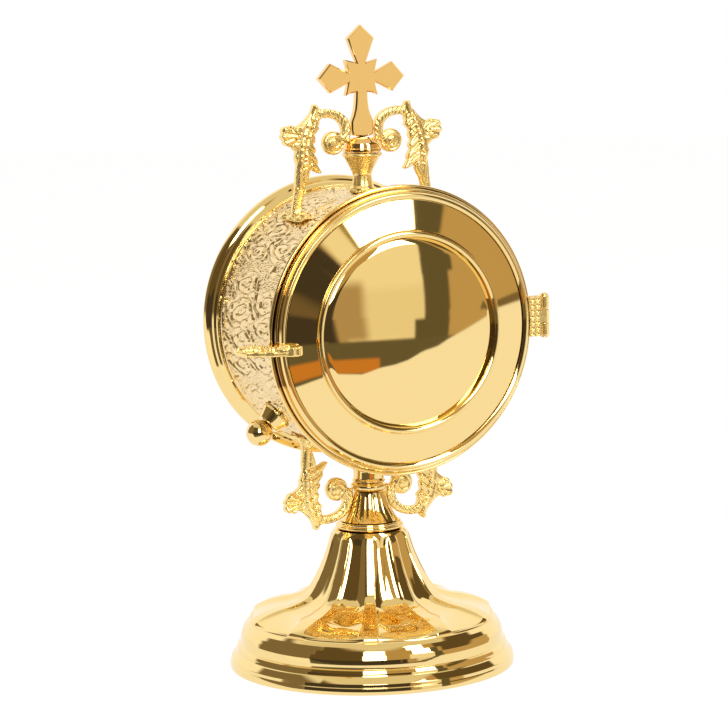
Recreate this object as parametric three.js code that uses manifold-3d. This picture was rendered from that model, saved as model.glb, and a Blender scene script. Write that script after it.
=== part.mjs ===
// Luna holder: a round case with a hinged door, on a fluted foot, with cast acanthus scrolls,
// a vase finial and a cross.
// Millimetres. +Z is up, the door faces -Y, and the origin is the centre of the foot's underside.

import * as THREE from 'three';
import { mergeVertices } from 'three/addons/utils/BufferGeometryUtils.js';
import Module from 'manifold-3d';

const wasm = await Module();
wasm.setup();

// Clearances
const SEAT_GAP = 0.3; // between pieces that sit on each other
const RUN_GAP = 0.35; // round pieces that move

// Facets round one turn
const DRUM_FACETS = 40;
const STEM_FACETS = 24;
const SMALL_FACETS = 12;
const VOLUTE_FACETS = 14;

// Foot: a spun shell with flutes pressed into its trumpet
const FOOT_RADIUS = 54.5;
const FOOT_HEIGHT = 52;
const FOOT_NECK_RADIUS = 13.4;
const FOOT_WALL = 1.3;
const FOOT_TOP_WALL = 2.2;
const FOOT_EDGE_WIDTH = 4; // flat ring that stands on the table
const MOULDING_HEIGHT = 17.4; // plain mouldings below the flutes
const MOULDING_INSET = 8;
const FLUTE_COUNT = 10;
const FLUTE_FACETS = 4; // facets across one rib and one flute
const FLUTE_DEPTH = 1.6;
const FLUTE_FADE_TOP = 0.13; // share of the trumpet's outline where the flutes fade in
const FLUTE_FADE_END = 0.86; // share where their rounded ends start
const RIB_HALF_WIDTH = 3;
const RIB_NECK_HALF_WIDTH = 1.4;
const RIB_FULL_RADIUS = 40; // the ribs keep their full width from here out
const UNDER_CUT = 4; // from the mouldings' top to the inside of the shell
const PLATE_LEDGE = 2; // shoulder that the base plate stops at
const RIB_AZIMUTH = THREE.MathUtils.degToRad(-117);
const BASE_PLATE_THICKNESS = 1.4;

// Tie rod that clamps the foot, the stem pieces and the drum
const ROD_RADIUS = 2.5;
const ROD_END = 0.8; // thread that stands past each nut
const FOOT_WASHER_RADIUS = 7;
const DRUM_WASHER_RADIUS = 5;
const WASHER_THICKNESS = 1;
const NUT_HALF_WIDTH = 4; // half the size across the flats
const NUT_HEIGHT = 3.2;

// Stem, from the foot up
const COLLAR_RADIUS = 12.9;
const COLLAR_HEIGHT = 2.7;
const CONE_RADIUS = 11;
const CONE_TOP_RADIUS = 6.2;
const CONE_HEIGHT = 11;
const CONE_FLUTE_DEPTH = 0.5;
const CONE_FLUTE_FACETS = 3;
const RING_RADIUS = 7;
const RING_HEIGHT = 3.2;
const SADDLE_NECK_RADIUS = 5.8;
const SADDLE_TOP_RADIUS = 7.8;
const SADDLE_HEIGHT = 10.9;
const SADDLE_LIP = 3; // stock above the seat, shaped away by the band

// Drum: a band between two rims, with its axis along Y
const RIM_RADIUS = 54;
const RIM_WIDTH = 4.5; // from the rims' outside to the band's
const BAND_WALL = 1.2;
const BAND_FRONT = -28;
const BAND_BACK = 26;
const RIM_SLEEVE = 2.5; // how far each rim covers the band
const RIM_BEAD_WIDTH = 1.3;
const RIM_BEAD_REACH = 2.6; // how far the front bead stands past the door's seat
const RIM_LIP = 0.7;
const BACK_RIM_REACH = 5.2;
const BACK_LIP_WIDTH = 2.8;

// Door: a beaded ring with a spigot, carrying a spun panel with a ring bead and a dome
const DOOR_FRONT_REACH = 5.9; // from the door's back face to the crest of its bead
const DOOR_STEP_REACH = 4; // to the crest of the lower bead
const DOOR_BEAD_INSET = 2.3; // of its crest inside the door's edge
const SPIGOT_DEPTH = 3;
const PANEL_RING = 1.6; // from the panel's edge out to the crest of the door's bead
const PANEL_THICKNESS = 1;
const PANEL_INSET = 0.9; // of its edge behind the crest of the door's bead
const PANEL_LEDGE = 2.3; // overlap of the ring behind the panel
const PANEL_RISE = 2.6; // from the panel's edge to the foot of its ring bead
const PANEL_SLOPE_WIDTH = 12.3; // from a panel's edge to its ring bead
const PANEL_BEAD_HALF_WIDTH = 1.3;
const PANEL_BEAD_HEIGHT = 1.4;
const DOME_RISE = 4;
const BACK_DOME_RISE = 3;
const BACK_PANEL_RISE = 0.9;
const DOME_STEPS = 3; // rings of facets across a dome

// Hinge at the right of the drum, its pin upright
const HINGE_OUT = 5.8; // from the rims' outside to the pin
const HINGE_FORWARD = 3.3; // from the band's front edge to the pin
const HINGE_RAISE = 1.5; // above the drum's centre
const HINGE_HEIGHT = 15;
const KNUCKLE_RADIUS = 1.9;
const HINGE_PIN_RADIUS = 0.85;
const HINGE_HEAD_RADIUS = 1.5;
const HINGE_HEAD_HEIGHT = 0.7;
const LEAF_THICKNESS = 1.2;

// Pull: a cast plate on the door's free edge that curls back beside the rim, with a round fluted
// end on the door and a bud on top
const PULL_DROP = 4.6; // of its underside below the drum's centre
const PULL_THICKNESS = 1.8;
const PULL_END_RADIUS = 4;
const PULL_END_HEIGHT = 3.3;
const PULL_END_FLUTES = 10;
const PULL_FLUTE_DEPTH = 0.5;
const PULL_BEVEL = 0.3;
const PULL_END_FORWARD = 2.6; // of its centre in front of the door's bead
const PULL_BUD_RADIUS = 3;
const PULL_BUD_HEIGHT = 2.6;
const PULL_OUT = 11.4; // outside the rim
const PULL_BACK = 9; // behind the hinge's centre
const PULL_FRONT = 5.2; // in front of it

// Retaining pin with a ball knob, sliding along a spoke of the drum
const PIN_ANGLE = THREE.MathUtils.degToRad(220.5);
const PIN_Y = 0;
const PIN_RADIUS = 1.5;
const PIN_COLLAR_RADIUS = 2.8;
const PIN_COLLAR_HEIGHT = 1;
const PIN_TIP_REACH = 1; // into the seat's channel
const BALL_RADIUS = 5;
const BOSS_RADIUS = 6;
const BOSS_END_RADIUS = 3.9;
const BOSS_HEIGHT = 5.2;
const BALL_SINK = 1; // how deep the ball lies in the boss

// Seat that holds the luna upright: an arc of channel on two posts
const SEAT_WEB = 0.9;
const SEAT_DEPTH = 4;
const SEAT_WIDTH = 7;
const SEAT_FLANGE = 0.8;
const SEAT_HALF_ANGLE = THREE.MathUtils.degToRad(62);
const POST_ANGLE = THREE.MathUtils.degToRad(32);
const POST_RADIUS = 2.2;

// Finial: vase and cap on a stud, with the cross on top
const STUD_RADIUS = 1.5;
const STUD_NUT_HALF_WIDTH = 2.75;
const STUD_NUT_HEIGHT = 2.4;
const VASE_FOOT_RADIUS = 4.9;
const VASE_WAIST_RADIUS = 3.5;
const VASE_RADIUS = 7.6;
const VASE_HEIGHT = 14.1;
const CAP_RADIUS = 7.3;
const CAP_HEIGHT = 5.6;
const TENON_LENGTH = 4;
const CROSS_THICKNESS = 3;
const CROSS_BEVEL = 0.5;
const CROSS_FOOT_HALF_WIDTH = 4.5;
const CROSS_SHAFT_HALF_WIDTH = 2.3;
const CROSS_CENTRE = 22; // height of the side arms over the foot
const CROSS_HEIGHT = 41.5;
const CROSS_HALF_SPAN = 17.9;
const CROSS_SQUARE = 6.7; // half the size of its middle, across the corners' points
const CROSS_HOLLOW = 1.2; // how far the middle's edges draw in between the corners
const CROSS_NECK = 1.9;
const CROSS_TIP_HALF_WIDTH = 5.5;
const CROSS_TIP_LENGTH = 5; // from a tip's widest place to its point

// Scroll castings
const SCROLL_REACH = 33.3; // from the holder's axis to the outermost lobe of a leaf
const CAST_THICKNESS = 4;
const CAST_BEVEL = 0.6;
const VOLUTE_RADIUS = 4.1;
const VOLUTE_ROUNDING = 1;
const VOLUTE_EYE_RADIUS = 1.5;
const VOLUTE_EYE_RISE = 0.5; // on each side
const LEG_WIDTH = 4.2;
const UPPER_FOOT_ANGLE = THREE.MathUtils.degToRad(34.5); // from the top of the band
const LOWER_FOOT_ANGLE = THREE.MathUtils.degToRad(32.5); // from its bottom
const LOWER_SCROLL_OFFSET = 1.2; // further out than the upper ones
const LOWER_SCROLL_LEAN = 0.13; // and leaning out by this share of their height
const LOWER_SCROLL_RAISE = 5.7; // of its reference level over the cone
const PAD_LENGTH = 22; // of the lobed pad on the band
const PAD_WIDTH = 6.2;
const PAD_THICKNESS = 1.8;

// Sizes and levels that follow from the ones above
const bandRadius = RIM_RADIUS - RIM_WIDTH;
const collarBase = FOOT_HEIGHT + SEAT_GAP;
const coneBase = collarBase + COLLAR_HEIGHT + SEAT_GAP;
const coneTop = coneBase + CONE_HEIGHT;
const ringBase = coneTop + SEAT_GAP;
const saddleBase = ringBase + RING_HEIGHT + SEAT_GAP;
const drumZ = saddleBase + SADDLE_HEIGHT + SEAT_GAP + bandRadius;
const bandInner = bandRadius - BAND_WALL;
const vaseBase = drumZ + bandRadius + SEAT_GAP;
const capBase = vaseBase + VASE_HEIGHT + SEAT_GAP;
const crossBase = capBase + CAP_HEIGHT + SEAT_GAP;
const doorSeatY = BAND_FRONT - SEAT_GAP - RIM_LIP;
const doorBackY = doorSeatY - SEAT_GAP;
const doorRadius = RIM_RADIUS - RIM_BEAD_WIDTH - SEAT_GAP;
const doorBeadRadius = doorRadius - DOOR_BEAD_INSET;
const panelRadius = doorBeadRadius - PANEL_RING;
const hingeX = RIM_RADIUS + HINGE_OUT;
const hingeY = BAND_FRONT - HINGE_FORWARD;
const doorCrestY = doorBackY - DOOR_FRONT_REACH;
const panelFrontY = doorCrestY + PANEL_INSET;
const panelBackY = panelFrontY + PANEL_THICKNESS;
const rodBore = ROD_RADIUS + SEAT_GAP;

const goldPolished = new THREE.MeshStandardMaterial({ color: 0xe9b94f, roughness: 0.12, metalness: 1 });
const goldCast = new THREE.MeshStandardMaterial({ color: 0xe3b04a, roughness: 0.32, metalness: 1 });
const goldSatin = new THREE.MeshStandardMaterial({ color: 0xf0b95c, roughness: 0.28, metalness: 1 });
const goldChased = new THREE.MeshStandardMaterial({ color: 0xdfc184, roughness: 0.45, metalness: 1 });
const brassPlain = new THREE.MeshStandardMaterial({ color: 0xb9924a, roughness: 0.4, metalness: 1 });

// Solids and booleans

function signedVolume(positions, faces) {
  const [a, b, c] = [new THREE.Vector3(), new THREE.Vector3(), new THREE.Vector3()];
  let sum = 0;
  for (let i = 0; i < faces.length; i += 3) {
    a.fromArray(positions, 3 * faces[i]);
    b.fromArray(positions, 3 * faces[i + 1]);
    c.fromArray(positions, 3 * faces[i + 2]);
    sum += a.dot(b.cross(c));
  }
  return sum / 6;
}

function solid(geometry) {
  const bare = geometry.clone();
  bare.deleteAttribute('normal');
  bare.deleteAttribute('uv');
  const merged = mergeVertices(bare, 1e-4);
  const positions = merged.attributes.position.array;
  const faces = [];
  for (let i = 0; i < merged.index.count; i += 3) {
    const face = [0, 1, 2].map((corner) => merged.index.getX(i + corner));
    if (new Set(face).size === 3) faces.push(...face);
  }
  if (signedVolume(positions, faces) < 0) faces.reverse();
  const mesh = new wasm.Mesh({
    numProp: 3,
    vertProperties: new Float32Array(positions),
    triVerts: new Uint32Array(faces),
  });
  return new wasm.Manifold(mesh);
}

function geometryOf(body) {
  const mesh = body.getMesh();
  const geometry = new THREE.BufferGeometry();
  geometry.setAttribute('position', new THREE.BufferAttribute(mesh.vertProperties, 3));
  geometry.setIndex(new THREE.BufferAttribute(mesh.triVerts, 1));
  geometry.computeVertexNormals();
  return geometry;
}

const joined = (bodies) => bodies.reduce((sum, body) => sum.add(body));

// A profile of [radius, height] pairs, turned about the Z axis
function turnedZ(profile, facets) {
  const points = profile.map(([r, z]) => new THREE.Vector2(r, z));
  return new THREE.LatheGeometry(points, facets).rotateX(Math.PI / 2);
}

// A profile of [radius, y] pairs, turned about the Y axis
function turnedY(profile, facets = DRUM_FACETS) {
  const points = profile.map(([r, y]) => new THREE.Vector2(r, y));
  return new THREE.LatheGeometry(points, facets);
}

const closed = (profile) => [...profile, profile[0]];

function rod(radius, from, to, facets = SMALL_FACETS) {
  return turnedZ([[0, from], [radius, from], [radius, to], [0, to]], facets);
}

// The space that the band takes, about the drum's axis, with its clearance
function bandSpace(height) {
  const reach = 2 * bandRadius;
  const radius = bandRadius + SEAT_GAP;
  const cylinder = turnedY([[0, -reach], [radius, -reach], [radius, reach], [0, reach]]);
  return solid(cylinder.translate(0, 0, height));
}

function hexNut(halfWidth, height, bore) {
  const corner = halfWidth / Math.cos(Math.PI / 6);
  const shape = new THREE.Shape();
  for (let i = 0; i < 6; i += 1) {
    const angle = (i * Math.PI) / 3;
    const [x, y] = [corner * Math.cos(angle), corner * Math.sin(angle)];
    if (i === 0) shape.moveTo(x, y);
    else shape.lineTo(x, y);
  }
  shape.closePath();
  shape.holes.push(new THREE.Path().absarc(0, 0, bore, 0, 2 * Math.PI));
  const options = { depth: height, bevelEnabled: false, curveSegments: SMALL_FACETS / 2 };
  return new THREE.ExtrudeGeometry(shape, options);
}

function washer(radius, thickness, bore) {
  const profile = [[bore, 0], [radius, 0], [radius, thickness], [bore, thickness]];
  return turnedZ(closed(profile), SMALL_FACETS);
}

// A tapering limb along points, its width set at each point, thickest along `normal`
function limb(points, widths, thickness, normal) {
  const path = new THREE.CatmullRomCurve3(points);
  const sides = 4;
  const last = points.length - 1;
  const positions = [];
  for (let i = 0; i <= last; i += 1) {
    const side = new THREE.Vector3().crossVectors(normal, path.getTangent(i / last)).normalize();
    for (let j = 0; j < sides; j += 1) {
      const angle = (2 * Math.PI * j) / sides;
      const point = points[i].clone();
      point.addScaledVector(side, (widths[i] / 2) * Math.cos(angle));
      point.addScaledVector(normal, (thickness / 2) * Math.sin(angle));
      positions.push(...point.toArray());
    }
  }
  const faces = [];
  for (let i = 0; i < last; i += 1) {
    for (let j = 0; j < sides; j += 1) {
      const a = i * sides + j;
      const b = i * sides + ((j + 1) % sides);
      faces.push(a, b, a + sides, b, b + sides, a + sides);
    }
  }
  const end = last * sides;
  for (let j = 1; j < sides - 1; j += 1) {
    faces.push(0, j + 1, j, end, end + j, end + j + 1);
  }
  const geometry = new THREE.BufferGeometry();
  geometry.setAttribute('position', new THREE.Float32BufferAttribute(positions, 3));
  geometry.setIndex(faces);
  return solid(geometry);
}

// Foot

// The trumpet's outline from its neck to the mouldings, as shares of its reach and height
const TRUMPET_SHAPE = [
  [0, 1], [0.055, 0.92], [0.12, 0.725], [0.224, 0.494], [0.366, 0.329],
  [0.547, 0.27], [0.743, 0.223], [0.894, 0.133], [1, 0],
];

// Convex band, step, line and base of the mouldings, as shares of their inset and height
const MOULDING_SHAPE = [
  [0.9, 0.95], [0.68, 0.8], [0.5, 0.62], [0.42, 0.49], [0.37, 0.38], [0.26, 0.36], [0.14, 0.27], [0.05, 0.18],
  [0, 0.1],
];

function fluteDepth(t) {
  const fadeIn = THREE.MathUtils.smoothstep(t, 0, FLUTE_FADE_TOP);
  const end = Math.max(0, (t - FLUTE_FADE_END) / (1 - FLUTE_FADE_END));
  return FLUTE_DEPTH * fadeIn * Math.sqrt(1 - end * end);
}

function trumpetRings(count) {
  const reach = FOOT_RADIUS - MOULDING_INSET - FOOT_NECK_RADIUS;
  const rise = FOOT_HEIGHT - MOULDING_HEIGHT;
  const curve = new THREE.SplineCurve(TRUMPET_SHAPE.map(([u, v]) => (
    new THREE.Vector2(FOOT_NECK_RADIUS + u * reach, MOULDING_HEIGHT + v * rise)
  )));
  const rings = [];
  for (let i = 0; i <= count; i += 1) {
    const t = i / count;
    const tangent = curve.getTangent(t);
    const point = curve.getPoint(t);
    const wide = Math.sqrt(THREE.MathUtils.clamp(point.x / (FOOT_RADIUS - MOULDING_INSET), 0, 1));
    rings.push({ point, outward: new THREE.Vector2(-tangent.y, tangent.x), flute: wide * fluteDepth(t) });
  }
  return rings;
}

function footRings() {
  const trumpet = trumpetRings(10);
  const plain = (r, z) => ({ point: new THREE.Vector2(r, z), flute: 0 });
  const inside = trumpetRings(4).slice(1).reverse().map(({ point, outward, flute }) => {
    const deep = FOOT_WALL + flute;
    const height = Math.min(point.y - outward.y * deep, FOOT_HEIGHT - FOOT_TOP_WALL);
    return plain(point.x - outward.x * deep, height);
  });
  const edgeInner = FOOT_RADIUS - FOOT_EDGE_WIDTH;
  const plateSeat = BASE_PLATE_THICKNESS + SEAT_GAP;
  const rings = [
    plain(rodBore, FOOT_HEIGHT),
    ...trumpet,
    ...MOULDING_SHAPE.map(([inset, z]) => plain(FOOT_RADIUS - inset * MOULDING_INSET, z * MOULDING_HEIGHT)),
    plain(FOOT_RADIUS, 0),
    plain(edgeInner, 0),
    plain(edgeInner, plateSeat),
    plain(edgeInner - PLATE_LEDGE, plateSeat),
    plain(FOOT_RADIUS - MOULDING_INSET - FOOT_WALL, MOULDING_HEIGHT - UNDER_CUT),
    ...inside,
    plain(FOOT_NECK_RADIUS - 2 * FOOT_WALL, FOOT_HEIGHT - FOOT_TOP_WALL),
    plain(rodBore, FOOT_HEIGHT - FOOT_TOP_WALL),
  ];
  return [...rings, rings[0]];
}

function ribHalfAngle(ring) {
  const even = Math.PI / FLUTE_COUNT / FLUTE_FACETS;
  if (ring.flute === 0) return even;
  const growth = THREE.MathUtils.smoothstep(ring.point.x, FOOT_NECK_RADIUS, RIB_FULL_RADIUS);
  return THREE.MathUtils.lerp(RIB_NECK_HALF_WIDTH, RIB_HALF_WIDTH, growth) / ring.point.x;
}

function footShell() {
  const rings = footRings();
  const count = FLUTE_COUNT * FLUTE_FACETS;
  const geometry = new THREE.LatheGeometry(rings.map((ring) => ring.point), count);
  const position = geometry.attributes.position;
  const unit = (2 * Math.PI) / FLUTE_COUNT;
  for (let i = 0; i <= count; i += 1) {
    const step = i % FLUTE_FACETS;
    rings.forEach((ring, j) => {
      const half = ribHalfAngle(ring);
      const across = Math.max(0, step - 1) / (FLUTE_FACETS - 1);
      const local = step === 0 ? -half : half + across * (unit - 2 * half);
      const azimuth = RIB_AZIMUTH + Math.floor(i / FLUTE_FACETS) * unit + local;
      const depth = ring.flute * (1 - (2 * across - 1) ** 2) * (step === 0 ? 0 : 1);
      const r = ring.point.x - (depth ? ring.outward.x * depth : 0);
      const z = ring.point.y - (depth ? ring.outward.y * depth : 0);
      position.setXYZ(i * rings.length + j, r * Math.cos(azimuth), r * Math.sin(azimuth), z);
    });
  }
  return solid(geometry);
}

function basePlate() {
  return rod(FOOT_RADIUS - FOOT_EDGE_WIDTH - SEAT_GAP, 0, BASE_PLATE_THICKNESS, DRUM_FACETS);
}

// Tie rod and its nuts

const footWasherTop = FOOT_HEIGHT - FOOT_TOP_WALL - SEAT_GAP;
const footNutTop = footWasherTop - WASHER_THICKNESS - SEAT_GAP;
const drumWasherBase = drumZ - Math.sqrt(bandInner ** 2 - DRUM_WASHER_RADIUS ** 2) + SEAT_GAP;
const drumNutBase = drumWasherBase + WASHER_THICKNESS + SEAT_GAP;

function tieRod() {
  return rod(ROD_RADIUS, footNutTop - NUT_HEIGHT - ROD_END, drumNutBase + NUT_HEIGHT + ROD_END);
}

// Stem

function stemCollar() {
  const top = collarBase + COLLAR_HEIGHT;
  const profile = [
    [rodBore, collarBase], [COLLAR_RADIUS - 0.6, collarBase], [COLLAR_RADIUS, collarBase + 0.7],
    [COLLAR_RADIUS - 0.1, collarBase + 1.5], [COLLAR_RADIUS - 1, top], [rodBore, top],
  ];
  return turnedZ(closed(profile), STEM_FACETS);
}

// The cone's outline, hollowed like a small trumpet, for its solid and for what is seated on it
function coneOutline(clearance) {
  const curve = new THREE.QuadraticBezierCurve(
    new THREE.Vector2(CONE_RADIUS + clearance, coneBase),
    new THREE.Vector2(CONE_TOP_RADIUS + 1.2 + clearance, coneBase + 0.4 * CONE_HEIGHT),
    new THREE.Vector2(CONE_TOP_RADIUS + clearance, coneTop),
  );
  return curve.getPoints(4).map((point) => [point.x, point.y]);
}

function stemCone() {
  const facets = CONE_FLUTE_FACETS * FLUTE_COUNT;
  const outline = coneOutline(0);
  const profile = closed([[rodBore, coneBase], ...outline, [rodBore, coneTop]]);
  const geometry = turnedZ(profile, facets);
  const position = geometry.attributes.position;
  for (let i = 0; i < position.count; i += 1) {
    const ring = i % profile.length;
    const column = Math.floor(i / profile.length) % facets;
    if (ring > 1 && ring < outline.length && column % CONE_FLUTE_FACETS === 1) {
      const [x, y] = [position.getX(i), position.getY(i)];
      const shrink = 1 - CONE_FLUTE_DEPTH / Math.hypot(x, y);
      position.setXY(i, x * shrink, y * shrink);
    }
  }
  return solid(geometry);
}

function stemRing() {
  const top = ringBase + RING_HEIGHT;
  const middle = (ringBase + top) / 2;
  const profile = [
    [rodBore, ringBase], [RING_RADIUS - 1.2, ringBase], [RING_RADIUS - 0.2, ringBase + 0.8],
    [RING_RADIUS, middle], [RING_RADIUS - 0.2, top - 0.8], [RING_RADIUS - 1.2, top], [rodBore, top],
  ];
  return turnedZ(closed(profile), STEM_FACETS);
}

function saddleCup() {
  const seat = saddleBase + SADDLE_HEIGHT;
  const profile = [
    [rodBore, saddleBase], [SADDLE_NECK_RADIUS + 0.6, saddleBase], [SADDLE_NECK_RADIUS, saddleBase + 1],
    [SADDLE_NECK_RADIUS, saddleBase + 0.42 * SADDLE_HEIGHT],
    [SADDLE_TOP_RADIUS - 0.6, saddleBase + 0.62 * SADDLE_HEIGHT],
    [SADDLE_TOP_RADIUS, saddleBase + 0.85 * SADDLE_HEIGHT], [SADDLE_TOP_RADIUS, seat + SADDLE_LIP],
    [rodBore, seat + SADDLE_LIP],
  ];
  const blank = solid(turnedZ(closed(profile), STEM_FACETS));
  return blank.subtract(bandSpace(drumZ));
}

// Drum, about its own centre

function turnPin() {
  return new THREE.Matrix4()
    .makeRotationY(Math.PI / 2 - PIN_ANGLE)
    .setPosition(0, PIN_Y, 0);
}

function drumBand() {
  const profile = [
    [bandInner, BAND_FRONT], [bandRadius, BAND_FRONT], [bandRadius, BAND_BACK], [bandInner, BAND_BACK],
  ];
  const rodHole = rod(rodBore, -bandRadius - 1, -bandInner + 1);
  const studHole = rod(STUD_RADIUS + SEAT_GAP, bandInner - 1, bandRadius + 1);
  const pinHole = rod(PIN_RADIUS + RUN_GAP, bandInner - 2, bandRadius + 2).applyMatrix4(turnPin());
  const band = solid(turnedY(closed(profile)));
  return band.subtract(solid(rodHole)).subtract(solid(studHole)).subtract(solid(pinHole));
}

function frontRim() {
  const sleeve = bandRadius + SEAT_GAP;
  const bead = RIM_RADIUS - RIM_BEAD_WIDTH;
  const crest = doorSeatY - RIM_BEAD_REACH;
  const profile = [
    [sleeve, BAND_FRONT + RIM_SLEEVE], [sleeve, BAND_FRONT - SEAT_GAP], [bandInner, BAND_FRONT - SEAT_GAP],
    [bandInner, doorSeatY], [bead, doorSeatY], [bead, crest + 0.4], [bead + 0.5, crest],
    [RIM_RADIUS - 0.2, crest + 0.3], [RIM_RADIUS, crest + 0.9], [RIM_RADIUS - 0.5, crest + 2.2],
    [sleeve + 1.7, BAND_FRONT + 0.4], [sleeve + 0.7, BAND_FRONT + RIM_SLEEVE],
  ];
  return turnedY(closed(profile));
}

function backRim() {
  const sleeve = bandRadius + SEAT_GAP;
  const lip = BAND_BACK + SEAT_GAP;
  const seat = lip + RIM_LIP;
  const back = BAND_BACK + BACK_RIM_REACH;
  const profile = [
    [sleeve, BAND_BACK - RIM_SLEEVE], [sleeve + 0.8, BAND_BACK - RIM_SLEEVE], [sleeve + 1.6, BAND_BACK - 0.9],
    [RIM_RADIUS - 1, BAND_BACK + 0.9], [RIM_RADIUS, BAND_BACK + 2.9], [RIM_RADIUS - 1, back - 0.5],
    [sleeve + 1.6, back], [sleeve + 0.1, back - 1], [sleeve + 0.1, seat],
    [bandInner - BACK_LIP_WIDTH, seat], [bandInner - BACK_LIP_WIDTH, lip], [sleeve, lip],
  ];
  return turnedY(closed(profile));
}

// The front of a spun panel, from its edge to its middle, as [radius, rise] pairs
function panelFace(radius, rise, dome) {
  const bead = radius - PANEL_SLOPE_WIDTH;
  const beadInner = bead - PANEL_BEAD_HALF_WIDTH;
  const crest = PANEL_BEAD_HALF_WIDTH / 2;
  const domeFoot = rise - PANEL_BEAD_HEIGHT / 2;
  const face = [
    [radius, 0], [bead + PANEL_BEAD_HALF_WIDTH, rise], [bead + crest, rise + PANEL_BEAD_HEIGHT],
    [bead - crest, rise + PANEL_BEAD_HEIGHT], [beadInner, domeFoot],
  ];
  for (let i = 1; i <= DOME_STEPS; i += 1) {
    const angle = (i / DOME_STEPS) * (Math.PI / 2);
    face.push([beadInner * Math.cos(angle), domeFoot + dome * (1 - Math.cos(angle) ** 2)]);
  }
  return face;
}

function spunPanel(radius, rise, dome, edgeY, direction) {
  const face = panelFace(radius, rise, dome);
  const inside = face.filter((point, i) => i < 2 || i >= 4).reverse();
  const profile = [
    ...face.map(([r, up]) => [r, edgeY + direction * (PANEL_THICKNESS + up)]),
    ...inside.map(([r, up]) => [r, edgeY + direction * up]),
  ];
  return turnedY(closed(profile));
}

function backCover() {
  const seat = BAND_BACK + SEAT_GAP + RIM_LIP + SEAT_GAP;
  return spunPanel(bandRadius - SEAT_GAP, BACK_PANEL_RISE, BACK_DOME_RISE, seat, 1);
}

// Door, about the drum's centre

function doorRing() {
  const crest = doorCrestY;
  const step = doorBackY - DOOR_STEP_REACH;
  const spigot = bandInner - RUN_GAP;
  const ledge = panelRadius - PANEL_LEDGE;
  const opening = panelRadius + SEAT_GAP;
  const profile = [
    [spigot, doorBackY], [doorRadius, doorBackY], [doorRadius, step + 0.5], [doorRadius - 0.4, step],
    [doorRadius - 0.9, step + 0.1], [doorBeadRadius + 1.3, step + 0.4], [doorBeadRadius + 1, crest + 0.7],
    [doorBeadRadius, crest], [opening + 0.2, crest + 0.4], [opening, panelBackY + SEAT_GAP],
    [ledge, panelBackY + SEAT_GAP], [ledge, doorBackY + SPIGOT_DEPTH + SEAT_GAP],
    [spigot, doorBackY + SPIGOT_DEPTH + SEAT_GAP],
  ];
  return turnedY(closed(profile));
}

function doorPanel() {
  return spunPanel(panelRadius, PANEL_RISE, DOME_RISE, panelBackY, -1);
}

// The door and the rim as the pull has to clear them
function pullClearance() {
  const crest = doorCrestY - SEAT_GAP;
  const edge = panelFrontY - SEAT_GAP;
  const rimFront = doorSeatY - RIM_BEAD_REACH - RUN_GAP;
  const rimOut = RIM_RADIUS + RUN_GAP;
  const besideDoor = doorRadius + SEAT_GAP;
  const profile = [
    [0, edge - PANEL_RISE], [panelRadius - PANEL_SLOPE_WIDTH + PANEL_BEAD_HALF_WIDTH, edge - PANEL_RISE],
    [panelRadius, edge], [doorBeadRadius - 1, crest], [doorBeadRadius + 1.4, crest + 0.5],
    [besideDoor, doorBackY - DOOR_STEP_REACH - SEAT_GAP], [besideDoor, rimFront], [rimOut, rimFront],
    [rimOut, 0], [0, 0],
  ];
  return solid(turnedY(profile));
}

// The pull's plate from above, as shares out from the rim (0) to the far end (1), and back from the
// hinge's centre (1 behind, -1 in front); negative shares out lie over the door
const PULL_OUTLINE = [
  [0.98, 0.55], [0.9, 0.98], [0.66, 1], [0.56, 0.86], [0.34, 0.9], [0.1, 0.62], [0.08, -0.16],
  [-0.16, -0.3], [-0.5, -0.9], [-0.2, -1.4], [0.12, -1.3], [0.3, -0.86], [0.52, -0.74], [0.66, -0.42],
  [0.86, -0.36], [0.93, 0.1],
];

function plate(points, height, bevel) {
  const shape = new THREE.Shape(points.map(([x, y]) => new THREE.Vector2(x, y)));
  const geometry = new THREE.ExtrudeGeometry(shape, {
    depth: height - 2 * bevel, bevelThickness: bevel, bevelSize: bevel, bevelOffset: -bevel,
    bevelEnabled: bevel > 0, bevelSegments: 1,
  });
  return solid(geometry.translate(0, 0, bevel));
}

function doorPull() {
  const outline = PULL_OUTLINE.map(([out, back]) => (
    [-RIM_RADIUS - out * PULL_OUT, hingeY + back * (back > 0 ? PULL_BACK : PULL_FRONT)]
  ));
  const [endX, endY] = [-doorBeadRadius + 2, doorCrestY - PULL_END_FORWARD];
  const steps = 2 * PULL_END_FLUTES;
  const fluted = Array.from({ length: steps }, (_, i) => {
    const angle = (2 * Math.PI * i) / steps;
    const radius = PULL_END_RADIUS - (i % 2) * PULL_FLUTE_DEPTH;
    return [endX + radius * Math.cos(angle), endY + radius * Math.sin(angle)];
  });
  const bud = turnedZ([[0, 0], [PULL_BUD_RADIUS, 0], [PULL_BUD_RADIUS, 0.4 * PULL_BUD_HEIGHT],
    [PULL_BUD_RADIUS / 2, PULL_BUD_HEIGHT], [0, PULL_BUD_HEIGHT]], SMALL_FACETS);
  const body = joined([
    plate(outline, PULL_THICKNESS, PULL_BEVEL),
    plate(fluted, PULL_END_HEIGHT, PULL_BEVEL),
    solid(bud.translate(endX - PULL_BUD_RADIUS, endY + PULL_BEVEL, PULL_THICKNESS - PULL_BEVEL)),
  ]);
  return body.translate([0, 0, -PULL_DROP]).subtract(pullClearance());
}

// Hinge

const knuckleHeight = (HINGE_HEIGHT - 2 * RUN_GAP) / 3;
const knuckleBases = [0, 1, 2].map((i) => HINGE_RAISE - HINGE_HEIGHT / 2 + i * (knuckleHeight + RUN_GAP));

function box(x0, x1, y0, y1, z0, z1) {
  const geometry = new THREE.BoxGeometry(x1 - x0, y1 - y0, z1 - z0);
  return solid(geometry.translate((x0 + x1) / 2, (y0 + y1) / 2, (z0 + z1) / 2));
}

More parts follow.
